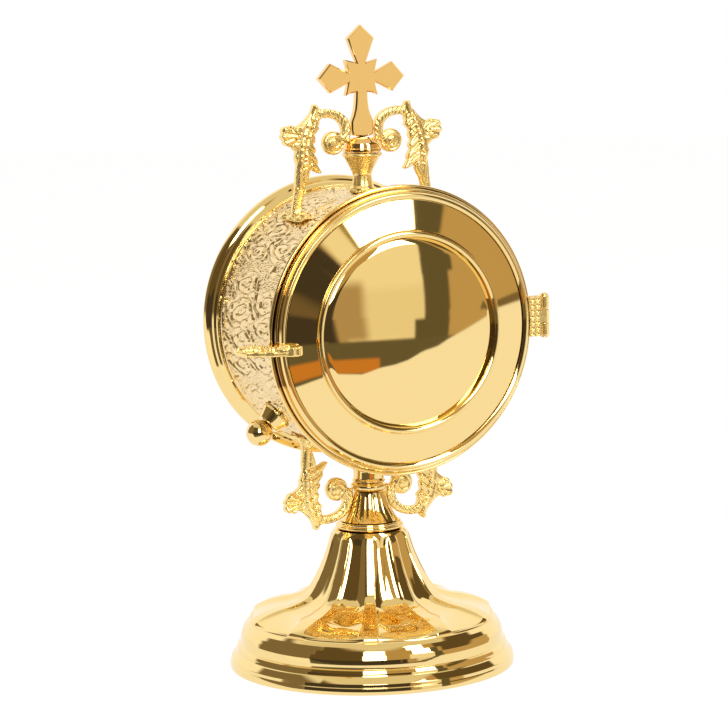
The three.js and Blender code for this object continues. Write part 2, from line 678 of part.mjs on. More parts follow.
function hingeLeaf(innerX, y0, rootRadius, knuckles) {
  const y1 = y0 + LEAF_THICKNESS;
  const low = HINGE_RAISE - HINGE_HEIGHT / 2;
  const plateEnd = hingeX - KNUCKLE_RADIUS - RUN_GAP;
  const parts = [box(innerX, plateEnd, y0, y1, low, low + HINGE_HEIGHT)];
  knuckles.forEach((index) => {
    const base = knuckleBases[index];
    const barrel = rod(KNUCKLE_RADIUS, base, base + knuckleHeight).translate(hingeX, hingeY, 0);
    parts.push(box(plateEnd - 1, hingeX, y0, y1, base, base + knuckleHeight), solid(barrel));
  });
  const reach = 2 * RIM_RADIUS;
  const root = turnedY([[0, -reach], [rootRadius, -reach], [rootRadius, reach], [0, reach]]);
  const bore = rod(HINGE_PIN_RADIUS + SEAT_GAP, low - 1, low + HINGE_HEIGHT + 1);
  return joined(parts).subtract(solid(root)).subtract(solid(bore.translate(hingeX, hingeY, 0)));
}

function hingeCaseLeaf() {
  const y0 = hingeY + KNUCKLE_RADIUS - LEAF_THICKNESS;
  return hingeLeaf(RIM_RADIUS - 2, y0, RIM_RADIUS + SEAT_GAP, [0, 2]);
}

function hingeDoorLeaf() {
  const y0 = hingeY - KNUCKLE_RADIUS;
  return hingeLeaf(doorRadius - 2, y0, doorRadius + SEAT_GAP, [1]);
}

function hingePin() {
  const low = HINGE_RAISE - HINGE_HEIGHT / 2 - SEAT_GAP;
  const high = HINGE_RAISE + HINGE_HEIGHT / 2 + SEAT_GAP;
  const profile = [
    [0, low - HINGE_HEAD_HEIGHT], [HINGE_HEAD_RADIUS - 0.5, low - HINGE_HEAD_HEIGHT],
    [HINGE_HEAD_RADIUS, low - 0.2], [HINGE_HEAD_RADIUS, low], [HINGE_PIN_RADIUS, low],
    [HINGE_PIN_RADIUS, high], [HINGE_HEAD_RADIUS, high], [HINGE_HEAD_RADIUS, high + 0.2],
    [HINGE_HEAD_RADIUS - 0.5, high + HINGE_HEAD_HEIGHT], [0, high + HINGE_HEAD_HEIGHT],
  ];
  return turnedZ(profile, SMALL_FACETS).translate(hingeX, hingeY, 0);
}

// Luna seat, about the drum's centre, just over the end of the tie rod

const seatRadius = drumZ - (drumNutBase + NUT_HEIGHT + ROD_END + SEAT_GAP);

function seatSector(inner, outer, halfAngle, width) {
  const down = -Math.PI / 2;
  const shape = new THREE.Shape();
  shape.absarc(0, 0, outer, down - halfAngle, down + halfAngle, false);
  shape.absarc(0, 0, inner, down + halfAngle, down - halfAngle, true);
  shape.closePath();
  const sector = new THREE.ExtrudeGeometry(shape, { depth: width, bevelEnabled: false, curveSegments: 12 });
  return solid(sector.rotateX(Math.PI / 2).translate(0, PIN_Y + width / 2, 0));
}

function lunaSeat() {
  const channel = seatSector(seatRadius - SEAT_DEPTH, seatRadius, SEAT_HALF_ANGLE, SEAT_WIDTH);
  const groove = seatSector(
    seatRadius - SEAT_DEPTH - 1, seatRadius - SEAT_WEB, SEAT_HALF_ANGLE + 0.1, SEAT_WIDTH - 2 * SEAT_FLANGE,
  );
  const fit = bandInner - SEAT_GAP;
  const bandFit = turnedY([[0, BAND_FRONT], [fit, BAND_FRONT], [fit, BAND_BACK], [0, BAND_BACK]]);
  const posts = [-POST_ANGLE, POST_ANGLE].map((angle) => (
    solid(rod(POST_RADIUS, -bandInner, -seatRadius + SEAT_WEB / 2).rotateY(angle).translate(0, PIN_Y, 0))
  ));
  const pinHole = rod(PIN_RADIUS + RUN_GAP, seatRadius - SEAT_DEPTH, seatRadius + 1);
  const body = channel.subtract(groove).add(joined(posts).intersect(solid(bandFit)));
  return body.subtract(solid(pinHole.applyMatrix4(turnPin())));
}

// Retaining pin and boss, along their own Z axis from the drum's centre

const bossEnd = bandRadius + BOSS_HEIGHT;
const ballCentre = bossEnd - BALL_SINK + BALL_RADIUS + SEAT_GAP;

function pinBoss() {
  const start = bandRadius - 2;
  const bore = PIN_RADIUS + RUN_GAP;
  const profile = [
    [bore, start], [BOSS_RADIUS, start], [BOSS_RADIUS, bandRadius + 1.2],
    [BOSS_END_RADIUS + 0.5, bossEnd - 0.8], [BOSS_END_RADIUS, bossEnd], [bore, bossEnd],
  ];
  const ball = new THREE.SphereGeometry(BALL_RADIUS + SEAT_GAP, SMALL_FACETS, 8).rotateX(Math.PI / 2);
  const blank = solid(turnedZ(closed(profile), SMALL_FACETS));
  return blank.subtract(bandSpace(0)).subtract(solid(ball.translate(0, 0, ballCentre)));
}

function retainingPin() {
  const tip = seatRadius - SEAT_WEB - PIN_TIP_REACH;
  const collar = seatRadius + SEAT_GAP;
  const shank = solid(turnedZ([
    [0, tip], [PIN_RADIUS - 0.4, tip], [PIN_RADIUS, tip + 0.5], [PIN_RADIUS, collar],
    [PIN_COLLAR_RADIUS, collar], [PIN_COLLAR_RADIUS, collar + PIN_COLLAR_HEIGHT],
    [PIN_RADIUS, collar + PIN_COLLAR_HEIGHT], [PIN_RADIUS, ballCentre], [0, ballCentre],
  ], SMALL_FACETS));
  const ball = new THREE.SphereGeometry(BALL_RADIUS, SMALL_FACETS, 8).rotateX(Math.PI / 2);
  return shank.add(solid(ball.translate(0, 0, ballCentre)));
}

// Finial

const studBore = STUD_RADIUS + SEAT_GAP;
const studNutTop = drumZ + bandInner - 2 * SEAT_GAP;

function finialVase() {
  const z = (share) => vaseBase + share * VASE_HEIGHT;
  const flare = (share) => THREE.MathUtils.lerp(VASE_WAIST_RADIUS, VASE_RADIUS, share);
  const profile = [
    [studBore, vaseBase - 1], [VASE_FOOT_RADIUS, vaseBase - 1], [VASE_FOOT_RADIUS, z(0.07)],
    [VASE_FOOT_RADIUS - 0.8, z(0.15)], [flare(0.06), z(0.28)], [flare(0), z(0.43)],
    [flare(0.22), z(0.58)], [flare(0.85), z(0.93)], [flare(1), z(0.96)], [flare(0.9), z(1)], [studBore, z(1)],
  ];
  const blank = solid(turnedZ(closed(profile), STEM_FACETS));
  return blank.subtract(bandSpace(drumZ));
}

// The cap's dome, for its solid and for what is seated on it
function capOutline(clearance) {
  const z = (share) => capBase + share * CAP_HEIGHT + (share === 1 ? clearance : 0);
  const wide = CAP_RADIUS + clearance;
  return [[wide, z(0)], [wide, z(0.25)], [0.87 * wide, z(0.65)], [0.66 * wide, z(0.92)], [0.4 * wide, z(1)]];
}

function finialCap() {
  const top = capBase + CAP_HEIGHT;
  const profile = [[studBore, capBase], ...capOutline(0), [studBore, top]];
  return turnedZ(closed(profile), STEM_FACETS);
}

function finialStud() {
  return rod(STUD_RADIUS, studNutTop - STUD_NUT_HEIGHT - ROD_END, crossBase - TENON_LENGTH - SEAT_GAP, 12);
}

// One kite-shaped tip of the cross: neck, shoulder and point, in its own direction
function crossTip(neckAt, tipAt) {
  const shoulder = tipAt - CROSS_TIP_LENGTH;
  return [[neckAt, CROSS_NECK], [shoulder, CROSS_TIP_HALF_WIDTH], [tipAt, 0],
    [shoulder, -CROSS_TIP_HALF_WIDTH], [neckAt, -CROSS_NECK]];
}

// The shaft's right side from its foot up, as shares of the foot's half width and of the side
// arms' height
const SHAFT_SHAPE = [
  [0, -0.005], [0.64, 0.01], [0.92, 0.03], [1, 0.11], [1, 0.255], [0.8, 0.35], [0.64, 0.46], [0.55, 0.6],
];

function crossShape() {
  const hollow = CROSS_SQUARE - CROSS_HOLLOW;
  const corner = (up) => [CROSS_SQUARE, CROSS_CENTRE + up * CROSS_SQUARE];
  const side = crossTip(hollow, CROSS_HALF_SPAN).reverse();
  const top = crossTip(hollow, CROSS_HEIGHT - CROSS_CENTRE).reverse().slice(0, 3);
  const right = [
    ...SHAFT_SHAPE.map(([across, up]) => [across * CROSS_FOOT_HALF_WIDTH, up * CROSS_CENTRE]),
    [CROSS_SHAFT_HALF_WIDTH, CROSS_CENTRE - hollow],
    [(CROSS_SHAFT_HALF_WIDTH + CROSS_SQUARE) / 2, CROSS_CENTRE - hollow - CROSS_HOLLOW / 4],
    corner(-1), ...side.map(([out, across]) => [out, CROSS_CENTRE + across]),
    corner(1), ...top.map(([out, across]) => [-across, CROSS_CENTRE + out]),
  ];
  const left = right.slice(1, -1).reverse().map(([x, z]) => [-x, z]);
  return new THREE.Shape([...right, ...left].map(([x, z]) => new THREE.Vector2(x, z)));
}

function cross() {
  const flat = CROSS_THICKNESS - 2 * CROSS_BEVEL;
  const body = new THREE.ExtrudeGeometry(crossShape(), {
    depth: flat, bevelThickness: CROSS_BEVEL, bevelSize: CROSS_BEVEL, bevelOffset: -CROSS_BEVEL,
    bevelSegments: 1,
  });
  body.rotateX(Math.PI / 2).translate(0, flat / 2, crossBase);
  const tenon = rod(STUD_RADIUS, crossBase - TENON_LENGTH, crossBase + 2, 12);
  return solid(body).add(solid(tenon));
}

// Scroll castings. Points are [out, up] from the drum's axis and from the casting's level, as
// shares of SCROLL_REACH: up the outside of the arm, over the bud, round the leaf's lobes, down to
// the leg, and back up the inside past the leaf's hanging tip.

const ARM_OUTSIDE = [
  [0.168, 0.12], [0.15, 0.225], [0.15, 0.282], [0.189, 0.387], [0.288, 0.465], [0.408, 0.498],
  [0.51, 0.5], [0.546, 0.528], [0.558, 0.555], [0.594, 0.555],
];
const LEAF_OUTSIDE = [
  [0.612, 0.516], [0.64, 0.46], [0.727, 0.369], [0.823, 0.318], [0.877, 0.342], [0.925, 0.318],
  [0.967, 0.327], [1, 0.285], [0.973, 0.252], [1, 0.21], [0.952, 0.177], [0.946, 0.129], [0.883, 0.12],
  [0.85, 0.078], [0.826, 0.033], [0.838, -0.024], [0.817, -0.105], [0.832, -0.225], [0.847, -0.39],
];
const LEAF_INSIDE = [
  [0.703, -0.348], [0.67, -0.294], [0.66, -0.165], [0.619, -0.18], [0.52, -0.21], [0.553, -0.144],
  [0.583, -0.09], [0.601, -0.036], [0.622, 0.015], [0.613, 0.066], [0.631, 0.117], [0.607, 0.168],
  [0.601, 0.228], [0.565, 0.261], [0.535, 0.282], [0.529, 0.33], [0.52, 0.393],
];
const ARM_INSIDE = [[0.432, 0.402], [0.336, 0.378], [0.27, 0.312], [0.255, 0.222], [0.27, 0.12]];
const VOLUTE_CENTRE = [0.36, 0.117];

// The lobed pad on the band, as shares of its length from its middle and of its width
const PAD_SHAPE = [
  [-0.5, 0.2], [-0.38, 0.7], [-0.25, 1], [-0.12, 0.74], [0, 0.9],
  [0.12, 0.74], [0.25, 1], [0.38, 0.7], [0.5, 0.2],
];

// A volute's disc, domed a little towards its eye on both sides
function voluteDisc(x, z) {
  const side = CAST_THICKNESS / 2;
  const half = [
    [0, side + VOLUTE_EYE_RISE], [VOLUTE_EYE_RADIUS, side + VOLUTE_EYE_RISE],
    [VOLUTE_RADIUS - VOLUTE_ROUNDING, side], [VOLUTE_RADIUS, side - VOLUTE_ROUNDING],
  ];
  const profile = [...half.map(([r, y]) => [r, -y]), ...half.reverse()];
  return solid(turnedY(profile, VOLUTE_FACETS).translate(x, 0, z));
}

// A casting on one side of the stem: `side` is 1 or -1 across, `rise` is 1 for the upper pair,
// which curls down to the band's top, and -1 for the lower pair, which reaches up to its underside.
// `lean` carries its top outwards, and `seat` is the turned piece that its arm rests against.
function scroll(side, rise, level, offset, lean, footAngle, seat) {
  const place = ([out, up]) => [
    side * (SCROLL_REACH * (out + lean * up) + offset), level + rise * SCROLL_REACH * up,
  ];
  const radial = new THREE.Vector3(side * Math.sin(footAngle), 0, rise * Math.cos(footAngle));
  const onBand = (lift, across, y) => {
    const point = radial.clone().multiplyScalar(bandRadius + SEAT_GAP + lift);
    return point.add(new THREE.Vector3(radial.z * across, y, drumZ - radial.x * across));
  };
  const ankle = [1, -1].map((out) => onBand(-SEAT_GAP, (out * side * rise * LEG_WIDTH) / 2, 0));
  const outline = [
    ...[...ARM_OUTSIDE, ...LEAF_OUTSIDE].map(place), ...ankle.map(({ x, z }) => [x, z]),
    ...[...LEAF_INSIDE, ...ARM_INSIDE].map(place),
  ];
  const pad = limb(
    PAD_SHAPE.map(([along]) => onBand(PAD_THICKNESS / 2 - SEAT_GAP, 0, along * PAD_LENGTH)),
    PAD_SHAPE.map(([, wide]) => wide * PAD_WIDTH), PAD_THICKNESS, radial,
  );
  const leaf = plate(outline, CAST_THICKNESS, CAST_BEVEL).translate([0, 0, -CAST_THICKNESS / 2]);
  const casting = joined([leaf.rotate([90, 0, 0]), voluteDisc(...place(VOLUTE_CENTRE)), pad]);
  return casting.subtract(bandSpace(drumZ)).subtract(seat);
}

function upperScroll(side) {
  const outline = [[0, capBase], ...capOutline(SEAT_GAP), [0, capBase + CAP_HEIGHT]];
  return scroll(side, 1, capBase, 0, 0, UPPER_FOOT_ANGLE, solid(turnedZ(outline, STEM_FACETS)));
}

function lowerScroll(side) {
  const outline = coneOutline(SEAT_GAP);
  const seat = solid(turnedZ([[0, coneBase], ...outline, [0, coneTop]], CONE_FLUTE_FACETS * FLUTE_COUNT));
  const level = coneTop + LOWER_SCROLL_RAISE;
  return scroll(side, -1, level, LOWER_SCROLL_OFFSET, LOWER_SCROLL_LEAN, LOWER_FOOT_ANGLE, seat);
}

// Assembly

// A piece comes as a geometry or as a body left by a boolean
function addPiece(group, name, shape, material, x = 0, y = 0, z = 0) {
  const body = shape.isBufferGeometry ? solid(shape) : shape;
  const mesh = new THREE.Mesh(geometryOf(body), material);
  mesh.name = name;
  mesh.position.set(x, y, z);
  group.add(mesh);
}

function buildBase(root) {
  addPiece(root, 'foot_shell', footShell(), goldPolished);
  addPiece(root, 'base_plate', basePlate(), brassPlain);
  addPiece(root, 'foot_washer', washer(FOOT_WASHER_RADIUS, WASHER_THICKNESS, rodBore), brassPlain,
    0, 0, footWasherTop - WASHER_THICKNESS);
  addPiece(root, 'foot_nut', hexNut(NUT_HALF_WIDTH, NUT_HEIGHT, rodBore), brassPlain,
    0, 0, footNutTop - NUT_HEIGHT);
  addPiece(root, 'tie_rod', tieRod(), brassPlain);
  addPiece(root, 'stem_collar', stemCollar(), goldPolished);
  addPiece(root, 'stem_cone', stemCone(), goldPolished);
  addPiece(root, 'stem_ring', stemRing(), goldPolished);
  addPiece(root, 'saddle_cup', saddleCup(), goldCast);
}

function buildDrum(root) {
  const drum = new THREE.Group();
  drum.position.z = drumZ;
  root.add(drum);
  addPiece(drum, 'drum_band', drumBand(), goldChased);
  addPiece(drum, 'front_rim', frontRim(), goldPolished);
  addPiece(drum, 'back_rim', backRim(), goldPolished);
  addPiece(drum, 'back_cover', backCover(), goldPolished);
  addPiece(drum, 'luna_seat', lunaSeat(), goldPolished);
  addPiece(drum, 'hinge_case_leaf', hingeCaseLeaf(), goldCast);
  addPiece(drum, 'hinge_pin', hingePin(), goldCast);
  addPiece(root, 'drum_washer', washer(DRUM_WASHER_RADIUS, WASHER_THICKNESS, rodBore), brassPlain,
    0, 0, drumWasherBase);
  addPiece(root, 'drum_nut', hexNut(NUT_HALF_WIDTH, NUT_HEIGHT, rodBore), brassPlain, 0, 0, drumNutBase);

  const door = new THREE.Group();
  drum.add(door);
  addPiece(door, 'door_ring', doorRing(), goldPolished);
  addPiece(door, 'door_panel', doorPanel(), goldPolished);
  addPiece(door, 'door_pull', doorPull(), goldCast);
  addPiece(door, 'hinge_door_leaf', hingeDoorLeaf(), goldCast);

  const pin = new THREE.Group();
  pin.applyMatrix4(turnPin());
  drum.add(pin);
  addPiece(pin, 'pin_boss', pinBoss(), goldPolished);
  addPiece(pin, 'retaining_pin', retainingPin(), goldPolished);
}

function buildCrown(root) {
  addPiece(root, 'finial_vase', finialVase(), goldPolished);
  addPiece(root, 'finial_cap', finialCap(), goldCast);
  addPiece(root, 'finial_stud', finialStud(), brassPlain);
  addPiece(root, 'finial_nut', hexNut(STUD_NUT_HALF_WIDTH, STUD_NUT_HEIGHT, studBore), brassPlain,
    0, 0, studNutTop - STUD_NUT_HEIGHT);
  addPiece(root, 'cross', cross(), goldSatin);
}

function buildScrolls(root) {
  addPiece(root, 'scroll_upper_right', upperScroll(1), goldCast);
  addPiece(root, 'scroll_upper_left', upperScroll(-1), goldCast);
  addPiece(root, 'scroll_lower_right', lowerScroll(1), goldCast);
  addPiece(root, 'scroll_lower_left', lowerScroll(-1), goldCast);
}

const lunaHolder = new THREE.Group();
buildBase(lunaHolder);
buildDrum(lunaHolder);
buildCrown(lunaHolder);
buildScrolls(lunaHolder);

export default lunaHolder;
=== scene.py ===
"""Luna holder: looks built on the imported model, in metres, with sizes written in millimetres."""

import logging
import math
from collections.abc import Sequence
from dataclasses import dataclass, field
from enum import Enum

import bmesh
import bpy
import numpy as np
from mathutils import Matrix, Vector


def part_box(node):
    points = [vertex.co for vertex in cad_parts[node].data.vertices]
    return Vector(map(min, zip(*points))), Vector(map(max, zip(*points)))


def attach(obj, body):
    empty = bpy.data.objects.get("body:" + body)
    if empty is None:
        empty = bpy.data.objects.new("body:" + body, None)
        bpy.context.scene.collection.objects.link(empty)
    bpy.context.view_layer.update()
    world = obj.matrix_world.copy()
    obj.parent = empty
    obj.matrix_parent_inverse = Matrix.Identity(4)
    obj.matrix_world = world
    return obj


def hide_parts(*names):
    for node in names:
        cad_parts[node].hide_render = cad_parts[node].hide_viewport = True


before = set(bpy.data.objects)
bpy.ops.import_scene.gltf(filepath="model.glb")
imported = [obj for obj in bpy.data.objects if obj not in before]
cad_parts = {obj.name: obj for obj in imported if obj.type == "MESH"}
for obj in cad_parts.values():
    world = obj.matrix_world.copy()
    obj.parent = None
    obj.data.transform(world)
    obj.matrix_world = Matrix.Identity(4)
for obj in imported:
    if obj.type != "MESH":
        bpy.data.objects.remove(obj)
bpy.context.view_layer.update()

LOG = logging.getLogger("luna_holder")
MM = 0.001
DRUM_Z = 130.8
BAND_RADIUS = 49.5
SEAT_GAP = 0.3
SMOOTH_ANGLE = 38.0
WHITE = (1.0, 1.0, 1.0)
Outline = Sequence[tuple[float, ...]]
Part = tuple[np.ndarray, list[tuple[int, ...]]]
Colour = tuple[float, float, float]
Socket = bpy.types.NodeSocket


class Turn(Enum):
    """The axis that a turned piece is spun about."""

    UPRIGHT = "z"
    DRUM = "y"


class Body(Enum):
    """The moving bodies of the holder."""

    CASE = "case"
    DOOR = "door"
    PIN = "pin"


# Outlines and meshes


def rounded(outline: Outline, radius: float = 0.2, steps: int = 4, closed: bool = True) -> np.ndarray:
    """Rounds the corners of an outline.

    Args:
        outline: points, each with an optional third value that is its own corner radius.
        radius: corner radius where a point gives none.
        steps: segments in each rounded corner.
        closed: whether the last point joins the first.

    Returns:
        The points of the rounded outline.
    """
    points = [np.array(p[:2], float) for p in outline]
    radii = [p[2] if len(p) > 2 else radius for p in outline]
    count = len(points)
    result = []
    for i, corner in enumerate(points):
        if not closed and i in (0, count - 1):
            result.append(corner)
            continue
        before, after = points[i - 1] - corner, points[(i + 1) % count] - corner
        reach = min(np.linalg.norm(before), np.linalg.norm(after))
        if radii[i] <= 0 or reach < 1e-6:
            result.append(corner)
            continue
        cosine = np.clip(before @ after / (np.linalg.norm(before) * np.linalg.norm(after)), -1, 1)
        half = math.acos(cosine) / 2
        cut = min(radii[i] / max(math.tan(half), 1e-3), 0.48 * reach)
        if half > 1.55:
            result.append(corner)
            continue
        start = corner + before / np.linalg.norm(before) * cut
        end = corner + after / np.linalg.norm(after) * cut
        for t in np.linspace(0, 1, steps + 1):
            result.append((1 - t) ** 2 * start + 2 * t * (1 - t) * corner + t * t * end)
    return np.array(result)


def spline(points: Outline, per_segment: int = 8) -> np.ndarray:
    """Samples a Catmull-Rom curve through points.

    Args:
        points: points of two or three values.
        per_segment: samples between two points.

    Returns:
        The sampled points, both ends included.
    """
    p = np.array(points, float)
    ends = np.vstack([2 * p[0] - p[1], p, 2 * p[-1] - p[-2]])
    rows = []
    for i in range(len(p) - 1):
        a, b, c, d = ends[i:i + 4]
        t = np.linspace(0, 1, per_segment, endpoint=False)[:, None]
        rows.append(0.5 * (2 * b + (c - a) * t + (2 * a - 5 * b + 4 * c - d) * t ** 2
                           + (3 * b - a - 3 * c + d) * t ** 3))
    rows.append(p[-1:])
    return np.vstack(rows)


def smoothstep(value: np.ndarray, low: float, high: float) -> np.ndarray:
    """Eases from 0 at low to 1 at high."""
    t = np.clip((value - low) / (high - low), 0, 1)
    return t * t * (3 - 2 * t)


def grid_faces(rows: int, columns: int, wrap_rows: bool, wrap_columns: bool) -> list[tuple[int, ...]]:
    """Gives the quads of a grid of points kept row by row.

    Args:
        rows: number of rows.
        columns: points in each row.
        wrap_rows: whether the last row joins the first.
        wrap_columns: whether the last point of a row joins its first.

    Returns:
        Four indices for each quad.
    """
    i = np.arange(rows if wrap_rows else rows - 1)[:, None]
    j = np.arange(columns if wrap_columns else columns - 1)[None, :]
    a = i * columns + j
    b = i * columns + (j + 1) % columns
    c = ((i + 1) % rows) * columns + (j + 1) % columns
    d = ((i + 1) % rows) * columns + j
    return [tuple(q) for q in np.stack([a, b, c, d], -1).reshape(-1, 4).tolist()]


def piece_from(name: str, points: np.ndarray, faces: list, crease: float = SMOOTH_ANGLE,
               weld: bool = True) -> bpy.types.Object:
    """Makes a shaded piece from points in millimetres.

    Args:
        name: name of the piece.
        points: its points.
        faces: indices of its faces.
        crease: angle in degrees above which an edge stays sharp.
        weld: whether points that coincide are joined.

    Returns:
        The new object, linked to the scene, with its faces turned outwards.
    """
    mesh = bpy.data.meshes.new(name)
    mesh.from_pydata((np.asarray(points, float) * MM).tolist(), [], faces)
    work = bmesh.new()
    work.from_mesh(mesh)
    if weld:
        bmesh.ops.remove_doubles(work, verts=work.verts, dist=2e-6)
    if work.calc_volume(signed=True) < 0:
        bmesh.ops.reverse_faces(work, faces=work.faces)
    work.to_mesh(mesh)
    work.free()
    return link_mesh(name, mesh, crease)


def link_mesh(name: str, mesh: bpy.types.Mesh, crease: float = SMOOTH_ANGLE) -> bpy.types.Object:
    """Links a mesh as a new object and shades it smooth up to an angle.

    Args:
        name: name of the piece.
        mesh: its mesh.
        crease: angle in degrees above which an edge stays sharp.

    Returns:
        The new object.
    """
    mesh.polygons.foreach_set("use_smooth", [True] * len(mesh.polygons))
    mesh.set_sharp_from_angle(angle=math.radians(crease))
    obj = bpy.data.objects.new(name, mesh)
    bpy.context.scene.collection.objects.link(obj)
    return obj


def supported(outline: np.ndarray, inset: float = 0.3) -> np.ndarray:
    """Adds points near both ends of long segments, so that shading stays flat along them.

    Args:
        outline: points of a closed outline, in millimetres.
        inset: distance of the added points from the ends.

    Returns:
        The outline with the added points.
    """
    rows = []
    for start, end in zip(outline, np.roll(outline, -1, axis=0)):
        length = np.linalg.norm(end - start)
        rows.append(start)
        if length > 3 * inset:
            step = (end - start) * inset / length
            rows += [start + step, end - step]
    return np.array(rows)


def swept(name: str, radius: np.ndarray, along: np.ndarray, azimuth: np.ndarray, turn: Turn = Turn.UPRIGHT,
          height: float = 0.0, crease: float = SMOOTH_ANGLE, closed: bool = True,
          weld: bool = True) -> bpy.types.Object:
    """Makes a piece from rows of points round an axis.

    Args:
        name: name of the piece.
        radius: distance of the points from the axis, row by row.
        along: their place along the axis.
        azimuth: direction of each column, in radians.
        turn: the axis.
        height: level of the axis's origin.
        crease: angle in degrees above which an edge stays sharp.
        closed: whether the last row joins the first.
        weld: whether points that coincide are joined.

    Returns:
        The new object.
    """
    across, other = radius * np.cos(azimuth), radius * np.sin(azimuth)
    along = np.broadcast_to(along, across.shape)
    if turn is Turn.UPRIGHT:
        points = np.stack([across, other, along + height], -1)
    else:
        points = np.stack([across, along, other + height], -1)
    return piece_from(name, points.reshape(-1, 3), grid_faces(*across.shape, closed, True), crease, weld)


def turned(name: str, outline: np.ndarray, turn: Turn, segments: int = 192, height: float = 0.0,
           closed: bool = True, crease: float = SMOOTH_ANGLE) -> bpy.types.Object:
    """Spins an outline of radius and height about an axis.

    Args:
        name: name of the piece.
        outline: points of radius and height.
        turn: the axis.
        segments: columns round the turn.
        height: level of the axis's origin.
        closed: whether the outline's last point joins its first.
        crease: angle in degrees above which an edge stays sharp.

    Returns:
        The new object.
    """
    rows = np.asarray(outline, float)
    if closed:
        rows = supported(rows)
    azimuth = np.linspace(0, 2 * math.pi, segments, endpoint=False)
    return swept(name, rows[:, :1], rows[:, 1:2], azimuth, turn, height, crease, closed)


def spun_on_drum(name: str, outline: np.ndarray) -> bpy.types.Object:
    """Spins an outline of radius and place along the drum about the drum's axis."""
    return turned(name, outline, Turn.DRUM, 256, DRUM_Z)


def lofted(sections: np.ndarray) -> Part:
    """Joins closed sections one after the other and closes both ends.

    Args:
        sections: points of each section, in millimetres.

    Returns:
        The points and faces.
    """
    rows, columns = sections.shape[:2]
    last = (rows - 1) * columns
    ends = [tuple(range(columns))[::-1], tuple(range(last, last + columns))]
    return sections.reshape(-1, 3), grid_faces(rows, columns, False, True) + ends


def limb_mesh(path: np.ndarray, widths: np.ndarray, depths: np.ndarray, normal: np.ndarray,
              sides: int = 14) -> Part:
    """Lofts a tapering limb of oval section along a path.

    Args:
        path: points of the limb's centre.
        widths: full width at each point, across the normal.
        depths: full thickness at each point, along the normal.
        normal: direction of the thickness.
        sides: points in each section.

    Returns:
        The points and faces of a closed limb.
    """
    tangent = np.gradient(path, axis=0)
    tangent /= np.linalg.norm(tangent, axis=1)[:, None]
    side = np.cross(normal, tangent)
    side /= np.linalg.norm(side, axis=1)[:, None]
    angle = np.linspace(0, 2 * math.pi, sides, endpoint=False)
    lift = np.broadcast_to(normal, path.shape)
    return lofted(path[:, None] + side[:, None] * (widths[:, None] / 2 * np.cos(angle))[..., None]
                  + lift[:, None] * (depths[:, None] / 2 * np.sin(angle))[..., None])


def remeshed(name: str, parts: list[Part], voxel: float) -> bpy.types.Mesh:
    """Fuses overlapping closed parts into one skin.

    Args:
        name: name for the working object.
        parts: points in millimetres and faces of each part.
        voxel: size of the remesh in millimetres.

    Returns:
        The skin.
    """
    faces, start = [], 0
    for points, part_faces in parts:
        faces += [tuple(i + start for i in face) for face in part_faces]
        start += len(points)
    mesh = bpy.data.meshes.new(name)
    mesh.from_pydata((np.vstack([points for points, _ in parts]) * MM).tolist(), [], faces)
    work = bpy.data.objects.new(name, mesh)
    bpy.context.scene.collection.objects.link(work)
    modifier = work.modifiers.new("fuse", "REMESH")
    modifier.mode = "VOXEL"
    modifier.voxel_size = voxel * MM
    smooth = work.modifiers.new("soften", "SMOOTH")
    smooth.factor = 0.5
    smooth.iterations = 1
    graph = bpy.context.evaluated_depsgraph_get()
    skin = bpy.data.meshes.new_from_object(work.evaluated_get(graph))
    bpy.data.objects.remove(work)
    bpy.data.meshes.remove(mesh)
    skin.name = name
    return skin


def solid_part(name: str) -> Part:
    """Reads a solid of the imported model.

    Args:
        name: the solid's name.

    Returns:
        Its points, in millimetres, and its faces.
    """
    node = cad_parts[name]
    points = np.array([node.matrix_world @ vertex.co for vertex in node.data.vertices]) / MM
    return points, [tuple(face.vertices) for face in node.data.polygons]


def mesh_points(mesh: bpy.types.Mesh) -> np.ndarray:
    """Reads a mesh's points, in millimetres."""
    values = np.zeros(len(mesh.vertices) * 3)
    mesh.vertices.foreach_get("co", values)
    return values.reshape(-1, 3) / MM


def move_points(mesh: bpy.types.Mesh, points: np.ndarray) -> None:
    """Writes a mesh's points, given in millimetres."""
    mesh.vertices.foreach_set("co", (points * MM).astype(np.float32).ravel())
    mesh.update()


def follow_drum(obj: bpy.types.Object, level: float, side: int) -> None:
    """Lets the end of an upright piece follow the drum.

    Args:
        obj: the piece.
        level: height past which its points belong to that end, in millimetres.
        side: 1 for a piece over the drum, -1 for one under it.
    """
    points = mesh_points(obj.data)
    seat = DRUM_Z + side * np.sqrt((BAND_RADIUS + SEAT_GAP) ** 2 - points[:, 0] ** 2)
    points[:, 2] = np.where(side * (level - points[:, 2]) > 0, seat, points[:, 2])
    move_points(obj.data, points)


def path_distance(points: np.ndarray, path: np.ndarray) -> np.ndarray:
    """Measures how far each point lies from a path.

    Args:
        points: points of two or three values.
        path: points of the path, of as many values.

    Returns:
        The distance of each point from the path's nearest segment.
    """
    best = np.full(len(points), 1e9)
    for a, b in zip(path[:-1], path[1:]):
        along = b - a
        t = np.clip((points - a) @ along / max(along @ along, 1e-12), 0, 1)
        best = np.minimum(best, np.linalg.norm(points - a - t[:, None] * along, axis=1))
    return best


@dataclass(frozen=True)
class Stroke:
    """A carved line: its path, its half width and how far it stands up or, below zero, cuts in."""

    path: np.ndarray
    half: float
    lift: float

    def relief(self, places: np.ndarray) -> np.ndarray:
        """Gives the stroke's height at each place, in the path's own two values."""
        return self.lift * np.clip(1 - (path_distance(places, self.path) / self.half) ** 2, 0, 1)


# Finishes


